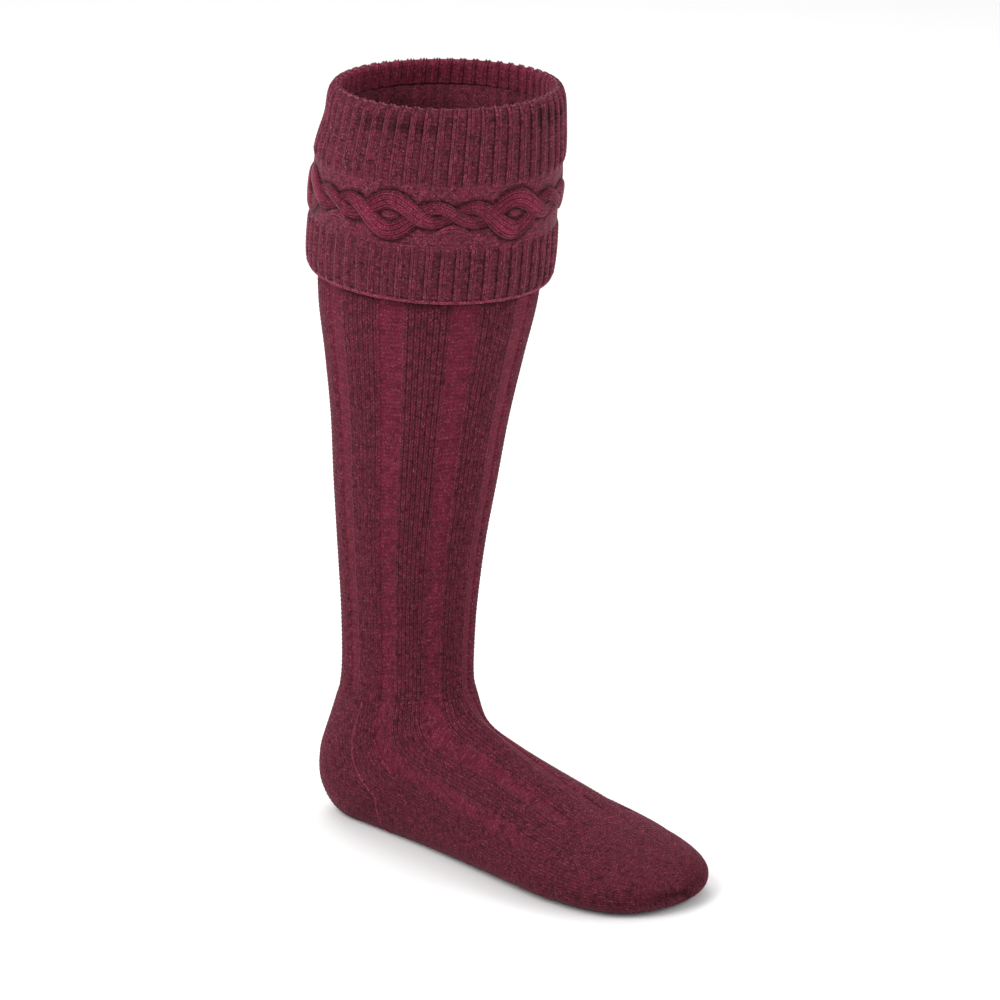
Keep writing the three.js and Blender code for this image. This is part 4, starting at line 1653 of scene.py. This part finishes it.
@dataclass(frozen=True)
class StitchChain:
    """A chain of edge stitches that follows a path, each two strands of yarn that meet in a point."""

    pitch: float = 2.07 * MM
    yarn: float = 0.5 * MM
    half_width: float = 0.85 * MM
    bulge: float = 0.55 * MM

    NUMBERS = ("Pitch", "Yarn radius", "Half width", "Bulge")
    BEND = {"Start": (-0.75, 0.15, 0.0), "Middle": (0.1, 0.6, 2.0), "End": (0.6, 1.0, 0.0)}
    YARN_SIDES = 5
    YARN_STEPS = 4

    def tree(self) -> bpy.types.NodeTree:
        """The Geometry Nodes tree, with the sizes and the material as its inputs.

        Returns:
            The tree.
        """
        tree = bpy.data.node_groups.new("chain of stitches", "GeometryNodeTree")
        tree.interface.new_socket("Geometry", in_out="INPUT", socket_type="NodeSocketGeometry")
        for name in self.NUMBERS:
            tree.interface.new_socket(name, in_out="INPUT", socket_type="NodeSocketFloat")
        tree.interface.new_socket("Material", in_out="INPUT", socket_type="NodeSocketMaterial")
        tree.interface.new_socket("Geometry", in_out="OUTPUT", socket_type="NodeSocketGeometry")
        nodes = NodeMaker(tree)
        given = nodes.add("NodeGroupInput", {}, {})
        pitch, yarn, half, bulge = (Value(nodes, given.outputs[name]) for name in self.NUMBERS)
        path = nodes.add("GeometryNodeMeshToCurve", {}, {"Mesh": given.outputs["Geometry"]}).outputs[0]
        even = nodes.add("GeometryNodeResampleCurve", {"mode": "LENGTH"}, {"Curve": path, "Length": pitch})
        values = {"Resolution": self.YARN_SIDES, "Radius": yarn}
        ring = nodes.add("GeometryNodeCurvePrimitiveCircle", {"mode": "RADIUS"}, values)
        legs = [self.strand(nodes, ring.outputs[0], pitch, half * side, bulge) for side in (1.0, -1.0)]
        link = nodes.add("GeometryNodeJoinGeometry", {}, {})
        for leg in legs:
            tree.links.new(leg, link.inputs[0])
        along = nodes.add("GeometryNodeInputTangent", {}, {}).outputs[0]
        settings = {"data_type": "FLOAT_VECTOR"}
        facing = nodes.add("GeometryNodeInputNamedAttribute", settings, {"Name": "facing"})
        turned = nodes.add("FunctionNodeAlignRotationToVector", {"axis": "X"}, {"Vector": along})
        values = {"Rotation": turned.outputs[0], "Vector": facing.outputs[0]}
        settings = {"axis": "Z", "pivot_axis": "X"}
        placed = nodes.add("FunctionNodeAlignRotationToVector", settings, values)
        values = {"Points": even.outputs[0], "Instance": link.outputs[0], "Rotation": placed.outputs[0]}
        row = nodes.add("GeometryNodeInstanceOnPoints", {}, values)
        return finish_tree(nodes, row.outputs[0], given.outputs["Material"])

    def strand(
        self, nodes: NodeMaker, ring: bpy.types.NodeSocket, pitch: Value, aside: Value, bulge: Value
    ) -> bpy.types.NodeSocket:
        """One leg of a stitch: a short bent length of yarn.

        Args:
            nodes: the tree's node maker.
            ring: the yarn's section.
            pitch: the length of a stitch.
            aside: how far the leg spreads from the path.
            bulge: how far it bends outward.

        Returns:
            The yarn's mesh.
        """
        values = {"Resolution": self.YARN_STEPS}
        for name, (along, out, up) in self.BEND.items():
            point = {"X": pitch * along, "Y": aside * out, "Z": bulge * up}
            values[name] = nodes.add("ShaderNodeCombineXYZ", {}, point).outputs[0]
        curve = nodes.add("GeometryNodeCurveQuadraticBezier", {}, values).outputs[0]
        values = {"Curve": curve, "Profile Curve": ring, "Fill Caps": True}
        return nodes.add("GeometryNodeCurveToMesh", {}, values).outputs[0]

    def along(
        self, name: str, points: np.ndarray, facing: np.ndarray, closed: bool, material: bpy.types.Material
    ) -> bpy.types.Object:
        """Lays the chain along a path.

        Args:
            name: the piece's name.
            points: the path.
            facing: the fabric's outward direction at each point.
            closed: whether the path is a loop.
            material: the finish.

        Returns:
            The finished piece.
        """
        mesh = bpy.data.meshes.new(name)
        count = len(points)
        edges = [(i, (i + 1) % count) for i in range(count if closed else count - 1)]
        mesh.from_pydata(points.tolist(), edges, [])
        mesh.attributes.new("facing", "FLOAT_VECTOR", "POINT").data.foreach_set("vector", facing.ravel())
        made = link_object(name, mesh)
        values = dict(zip(self.NUMBERS, (self.pitch, self.yarn, self.half_width, self.bulge)))
        return grown(made, self.tree(), {**values, "Material": material})


@dataclass(frozen=True)
class WoolFuzz:
    """Loose fibre ends that stand off the raised yarn, each a thin three-sided spike."""

    density: float = 130000.0
    seed: int = 11
    length: float = 2.2 * MM
    thickness: float = 0.05 * MM
    lean: float = 1.1
    lowest: float = 0.45

    NUMBERS = ("Density", "Length", "Thickness", "Lean", "Lowest")
    SIDES = 3
    SHORTEST = 0.3

    def tree(self) -> bpy.types.NodeTree:
        """The Geometry Nodes tree, with the amounts, the seed and the material as its inputs.

        Returns:
            The tree.
        """
        tree = bpy.data.node_groups.new("wool fuzz", "GeometryNodeTree")
        tree.interface.new_socket("Geometry", in_out="INPUT", socket_type="NodeSocketGeometry")
        for name in self.NUMBERS:
            tree.interface.new_socket(name, in_out="INPUT", socket_type="NodeSocketFloat")
        tree.interface.new_socket("Seed", in_out="INPUT", socket_type="NodeSocketInt")
        tree.interface.new_socket("Material", in_out="INPUT", socket_type="NodeSocketMaterial")
        tree.interface.new_socket("Geometry", in_out="OUTPUT", socket_type="NodeSocketGeometry")
        nodes = NodeMaker(tree)
        given = nodes.add("NodeGroupInput", {}, {}).outputs
        hollow = nodes.add("GeometryNodeInputNamedAttribute", {"data_type": "FLOAT"}, {"Name": "hollow"})
        settings = {"data_type": "FLOAT", "operation": "LESS_THAN"}
        raised = nodes.add("FunctionNodeCompare", settings, {"A": hollow.outputs[0], "B": given["Lowest"]})
        values = {"Mesh": given["Geometry"], "Selection": raised.outputs[0], "Density": given["Density"]}
        settings = {"distribute_method": "RANDOM"}
        roots = nodes.add("GeometryNodeDistributePointsOnFaces", settings, {**values, "Seed": given["Seed"]})
        lean = Value(nodes, given["Lean"])
        low = nodes.add("ShaderNodeCombineXYZ", {}, {"X": lean * -1.0, "Y": lean * -1.0})
        high = nodes.add("ShaderNodeCombineXYZ", {}, {"X": lean, "Y": lean})
        values = {"Min": low.outputs[0], "Max": high.outputs[0], "Seed": given["Seed"]}
        tilt = nodes.add("FunctionNodeRandomValue", {"data_type": "FLOAT_VECTOR"}, values).outputs[0]
        values = {"Rotation": roots.outputs["Rotation"], "Rotate By": tilt}
        turned = nodes.add("FunctionNodeRotateRotation", {"rotation_space": "LOCAL"}, values).outputs[0]
        values = {2: self.SHORTEST, 3: 1.0, "Seed": given["Seed"]}
        size = nodes.add("FunctionNodeRandomValue", {"data_type": "FLOAT"}, values)
        values = {"Vertices": self.SIDES, "Radius Bottom": given["Thickness"], "Radius Top": 0.0}
        values["Depth"] = given["Length"]
        spike = nodes.add("GeometryNodeMeshCone", {"fill_type": "NGON"}, values).outputs[0]
        values = {"Points": roots.outputs[0], "Instance": spike, "Rotation": turned, "Scale": size.outputs[1]}
        fibres = nodes.add("GeometryNodeInstanceOnPoints", {}, values)
        return finish_tree(nodes, fibres.outputs[0], given["Material"])

    def on(self, piece: bpy.types.Object, name: str) -> bpy.types.Object:
        """Grows the fuzz of one piece of fabric, as a piece of its own with the same finish.

        Args:
            piece: the fabric.
            name: the fuzz's name.

        Returns:
            The finished fuzz.
        """
        made = link_object(name, piece.data.copy())
        numbers = (self.density, self.length, self.thickness, self.lean, self.lowest)
        values = {**dict(zip(self.NUMBERS, numbers)), "Seed": self.seed, "Material": piece.data.materials[0]}
        return grown(made, self.tree(), values)


def finish_tree(
    nodes: NodeMaker, geometry: bpy.types.NodeSocket, material: bpy.types.NodeSocket
) -> bpy.types.NodeTree:
    """Ends a Geometry Nodes tree: real meshes, smooth shading and the material.

    Args:
        nodes: the tree's node maker.
        geometry: what the tree has made.
        material: the finish.

    Returns:
        The tree.
    """
    real = nodes.add("GeometryNodeRealizeInstances", {}, {"Geometry": geometry}).outputs[0]
    smooth = nodes.add("GeometryNodeSetShadeSmooth", {}, {"Geometry": real}).outputs[0]
    dressed = nodes.add("GeometryNodeSetMaterial", {}, {"Geometry": smooth, "Material": material})
    nodes.add("NodeGroupOutput", {}, {"Geometry": dressed.outputs[0]})
    return nodes.tree


def grown(made: bpy.types.Object, tree: bpy.types.NodeTree, values: dict[str, Any]) -> bpy.types.Object:
    """Runs a Geometry Nodes tree on an object and keeps the result as a plain mesh.

    Args:
        made: the object.
        tree: the tree.
        values: the tree's inputs by name.

    Returns:
        The object with its new mesh.
    """
    modifier = made.modifiers.new("grow", "NODES")
    modifier.node_group = tree
    sockets = {item.name: item.identifier for item in tree.interface.items_tree if item.in_out == "INPUT"}
    for name, value in values.items():
        modifier[sockets[name]] = value
    graph = bpy.context.evaluated_depsgraph_get()
    mesh = bpy.data.meshes.new_from_object(made.evaluated_get(graph))
    made.modifiers.clear()
    made.data = mesh
    return made


Colour = tuple[float, float, float, float]


@dataclass(frozen=True)
class HeatherWool:
    """Marled wool yarn: dull and red fibres spun together, with pale and dark flecks."""

    name: str
    dull: Colour
    red: Colour
    fleck: Colour
    shade: Colour
    redness: float = 0.0
    hollow_shade: float = 0.72
    sheen: float = 0.14
    sheen_rough: float = 0.32
    sheen_tint: Colour = (0.9, 0.55, 0.62, 1.0)
    shine: float = 0.08
    rough: float = 0.8
    rough_swing: float = 0.15
    bump: float = 0.55
    bump_depth: float = 0.25 * MM
    fibre_scale: float = 1500.0
    marl_scale: float = 420.0
    patch_scale: float = 60.0
    marl_swing: float = 1.1
    stitch_swing: float = 0.35
    patch_swing: float = 0.5
    pale_from: tuple[float, float] = (0.54, 0.68)
    pale: float = 0.7
    dark_from: tuple[float, float] = (0.47, 0.33)
    dark: float = 0.65
    tone_guard: float = 0.6
    low_level: float = 0.86
    level_swing: float = 0.36

    def material(self) -> bpy.types.Material:
        """Builds the material, which reads the fabric's own attributes and knit map.

        Returns:
            The material.
        """
        made = bpy.data.materials.new(self.name)
        made.use_nodes = True
        made.node_tree.nodes.clear()
        nodes = NodeMaker(made.node_tree)
        place = nodes.add("ShaderNodeTexCoord", {}, {}).outputs["Object"]
        knit = nodes.add("ShaderNodeUVMap", {"uv_map": "knit"}, {}).outputs["UV"]
        tone = nodes.value("ShaderNodeAttribute", {"attribute_name": "tone"}, {}, "Fac")
        hollow = nodes.value("ShaderNodeAttribute", {"attribute_name": "hollow"}, {}, "Fac")
        cell = nodes.add("ShaderNodeVectorMath", {"operation": "FLOOR"}, {0: knit}).outputs[0]
        stitch = nodes.value("ShaderNodeTexWhiteNoise", {"noise_dimensions": "2D"}, {"Vector": cell})
        fibre = self.noise(nodes, place, self.fibre_scale)
        marl = self.noise(nodes, place, self.marl_scale)
        patch = self.noise(nodes, place, self.patch_scale)
        warmth = tone + self.redness + (marl - 0.5) * self.marl_swing
        warmth = warmth + (stitch - 0.5) * self.stitch_swing + (patch - 0.5) * self.patch_swing
        colour = nodes.mix(warmth.clamped(), self.dull, self.red)
        pale = fibre.ramp(*self.pale_from) * self.pale
        colour = nodes.mix(pale, colour, self.fleck)
        dark = marl.ramp(*self.dark_from) * self.dark * (1 - tone * self.tone_guard)
        colour = nodes.mix(dark, colour, self.shade)
        # Painted shade: the colour darkens where the painted shade attribute is high (between stitches, in
        # rib grooves, under the hem, beside the cable strands); each stitch also varies in brightness at
        # random.
        level = (1 - hollow * self.hollow_shade).clamped() * (self.low_level + stitch * self.level_swing)
        grey = nodes.add("ShaderNodeCombineColor", {}, {0: level, 1: level, 2: level}).outputs[0]
        colour = nodes.mix(1.0, colour, grey, "MULTIPLY")
        values = {"Strength": self.bump, "Distance": self.bump_depth, "Height": fibre}
        bump = nodes.add("ShaderNodeBump", {}, values)
        values = {
            "Base Color": colour,
            "Roughness": self.rough + fibre * self.rough_swing,
            "Sheen Weight": self.sheen,
            "Sheen Roughness": self.sheen_rough,
            "Sheen Tint": self.sheen_tint,
            "Specular IOR Level": self.shine,
            "Normal": bump.outputs[0],
        }
        shader = nodes.add("ShaderNodeBsdfPrincipled", {}, values)
        nodes.add("ShaderNodeOutputMaterial", {}, {"Surface": shader.outputs[0]})
        return made

    @staticmethod
    def noise(nodes: NodeMaker, place: bpy.types.NodeSocket, scale: float) -> Value:
        """Even noise in space, about 0.5."""
        values = {"Vector": place, "Scale": scale, "Detail": 2.0, "Roughness": 0.6}
        return nodes.value("ShaderNodeTexNoise", {}, values, "Fac")


LEG_WOOL = HeatherWool(
    "leg wool",
    dull=(0.11, 0.0155, 0.0295, 1),
    red=(0.165, 0.0145, 0.0355, 1),
    fleck=(0.345, 0.118, 0.155, 1),
    shade=(0.038, 0.0045, 0.0095, 1),
    redness=0.15,
)
CUFF_WOOL = HeatherWool(
    "cuff wool",
    dull=(0.133, 0.022, 0.0395, 1),
    red=(0.215, 0.019, 0.049, 1),
    fleck=(0.41, 0.15, 0.2, 1),
    shade=(0.046, 0.007, 0.013, 1),
    redness=0.2,
    sheen=0.36,
)


@dataclass(frozen=True)
class Lamp:
    """A square soft light: where it is round the sock in degrees, how far off, its side and its power."""

    name: str
    azimuth: float
    elevation: float
    away: float
    size: float
    power: float


@dataclass(frozen=True)
class Studio:
    """A pale floor, soft light and the camera at the photograph's angle."""

    azimuth: float = -45.0
    elevation: float = 16.5
    distance: float = 4.0
    sensor: float = 36.0
    view_height: float = 0.56
    aim: tuple[float, float, float] = (0.0, -0.075, 0.205)
    floor_size: float = 14.0
    floor_colour: Colour = (0.86, 0.86, 0.86, 1)
    floor_rough: float = 0.7
    sky: float = 0.75
    clip_end: float = 40.0
    lamps: tuple[Lamp, ...] = (
        Lamp("key", azimuth=-100, elevation=42, away=2.2, size=1.6, power=38),
        Lamp("fill", azimuth=25, elevation=25, away=2.6, size=2.0, power=30),
        Lamp("back", azimuth=150, elevation=50, away=2.4, size=1.6, power=24),
    )

    def direction(self, azimuth: float, elevation: float) -> Vector:
        """The direction from the sock towards a place round it, in degrees."""
        a, e = math.radians(azimuth), math.radians(elevation)
        return Vector((math.sin(a) * math.cos(e), -math.cos(a) * math.cos(e), math.sin(e)))

    def camera(self) -> None:
        """The camera, far off, so that the sock has little perspective."""
        data = bpy.data.cameras.new("camera")
        data.sensor_width = self.sensor
        data.lens = self.sensor * self.distance / self.view_height
        data.clip_end = self.clip_end
        made = link_object("camera", data)
        self.face_sock(made, self.azimuth, self.elevation, self.distance)
        bpy.context.scene.camera = made

    def face_sock(self, made: bpy.types.Object, azimuth: float, elevation: float, away: float) -> None:
        """Puts a camera or a lamp at a place round the sock and turns it to face the sock.

        Args:
            made: the camera or lamp.
            azimuth: degrees round from the front, past +X.
            elevation: degrees up.
            away: the distance from the aim.
        """
        back = self.direction(azimuth, elevation)
        made.location = Vector(self.aim) + back * away
        made.rotation_mode = "QUATERNION"
        made.rotation_quaternion = (-back).to_track_quat("-Z", "Y")

    def light(self, lamp: Lamp) -> None:
        """Makes one lamp.

        Args:
            lamp: its place, size and power.
        """
        data = bpy.data.lights.new(lamp.name, "AREA")
        data.size = lamp.size
        data.energy = lamp.power
        made = link_object(lamp.name, data)
        self.face_sock(made, lamp.azimuth, lamp.elevation, lamp.away)

    def floor(self, level: float) -> None:
        """A wide pale floor under the sole.

        Args:
            level: the height of the floor.
        """
        mesh = bpy.data.meshes.new("floor")
        half = self.floor_size / 2
        corners = [(x, y, level) for x, y in ((-half, -half), (half, -half), (half, half), (-half, half))]
        mesh.from_pydata(corners, [], [(0, 1, 2, 3)])
        made = link_object("floor", mesh)
        paint = bpy.data.materials.new("pale floor")
        paint.use_nodes = True
        shader = paint.node_tree.nodes["Principled BSDF"]
        shader.inputs["Base Color"].default_value = self.floor_colour
        shader.inputs["Roughness"].default_value = self.floor_rough
        mesh.materials.append(paint)
        made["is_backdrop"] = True

    def build(self, level: float) -> None:
        """Makes the whole studio.

        Args:
            level: the height of the floor, which is the sole's lowest point.
        """
        self.camera()
        self.floor(level)
        for lamp in self.lamps:
            self.light(lamp)
        world = bpy.data.worlds.new("studio")
        world.use_nodes = True
        background = world.node_tree.nodes["Background"]
        background.inputs["Color"].default_value = (1, 1, 1, 1)
        background.inputs["Strength"].default_value = self.sky
        bpy.context.scene.world = world
        bpy.context.scene.view_settings.view_transform = "Standard"


def finish_piece(made: bpy.types.Object, material: bpy.types.Material, node: str | None) -> None:
    """Dresses a piece, hangs it under the body and hides the CAD part that it replaces.

    Args:
        made: the piece.
        material: its finish.
        node: the CAD node that it replaces, if any.
    """
    made.data.materials.clear()
    made.data.materials.append(material)
    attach(made, BODY)
    if node:
        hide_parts(node)
    made.data.calc_loop_triangles()
    log.info("%s: %d triangles", made.name, len(made.data.loop_triangles))


def main() -> None:
    """Builds the sock piece by piece and sets the studio round it."""
    logging.basicConfig(level=logging.INFO, format="%(message)s")
    sizes = SockSizes()
    leg_wool, cuff_wool = LEG_WOOL.material(), CUFF_WOOL.material()
    stocking, cuff = Stocking(sizes), TurnoverCuff(sizes)
    cable = CableBand(cuff)
    fabrics = (
        (stocking.leg(), leg_wool, "leg", "leg_knit"),
        (stocking.foot(), leg_wool, "foot", "foot_knit"),
        (stocking.heel(), leg_wool, "heel", "foot_knit"),
        (stocking.toe(), leg_wool, "toe", "foot_knit"),
        (cuff.body(cable.shade), cuff_wool, "turnover_cuff", "cuff_knit"),
    )
    for made, wool, node, slot in fabrics:
        finish_piece(made, wool, node)
    Studio().build(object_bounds()[0].z)
    for made, wool, node, slot in fabrics:
        finish_piece(WoolFuzz().on(made, f"wool_fuzz_{node}"), wool, None)
    for strand in cable.build():
        finish_piece(strand, cuff_wool, None)
    hem = StitchChain().along("hem_chain", *cuff.hem_path(), True, cuff_wool)
    finish_piece(hem, cuff_wool, None)
    heel_chain = StitchChain(pitch=2.3 * MM, yarn=0.4 * MM, half_width=0.6 * MM, bulge=0.35 * MM)
    seam = heel_chain.along("heel_chain", *stocking.heel_path(), False, leg_wool)
    finish_piece(seam, leg_wool, None)


if __name__ == "__main__":
    main()
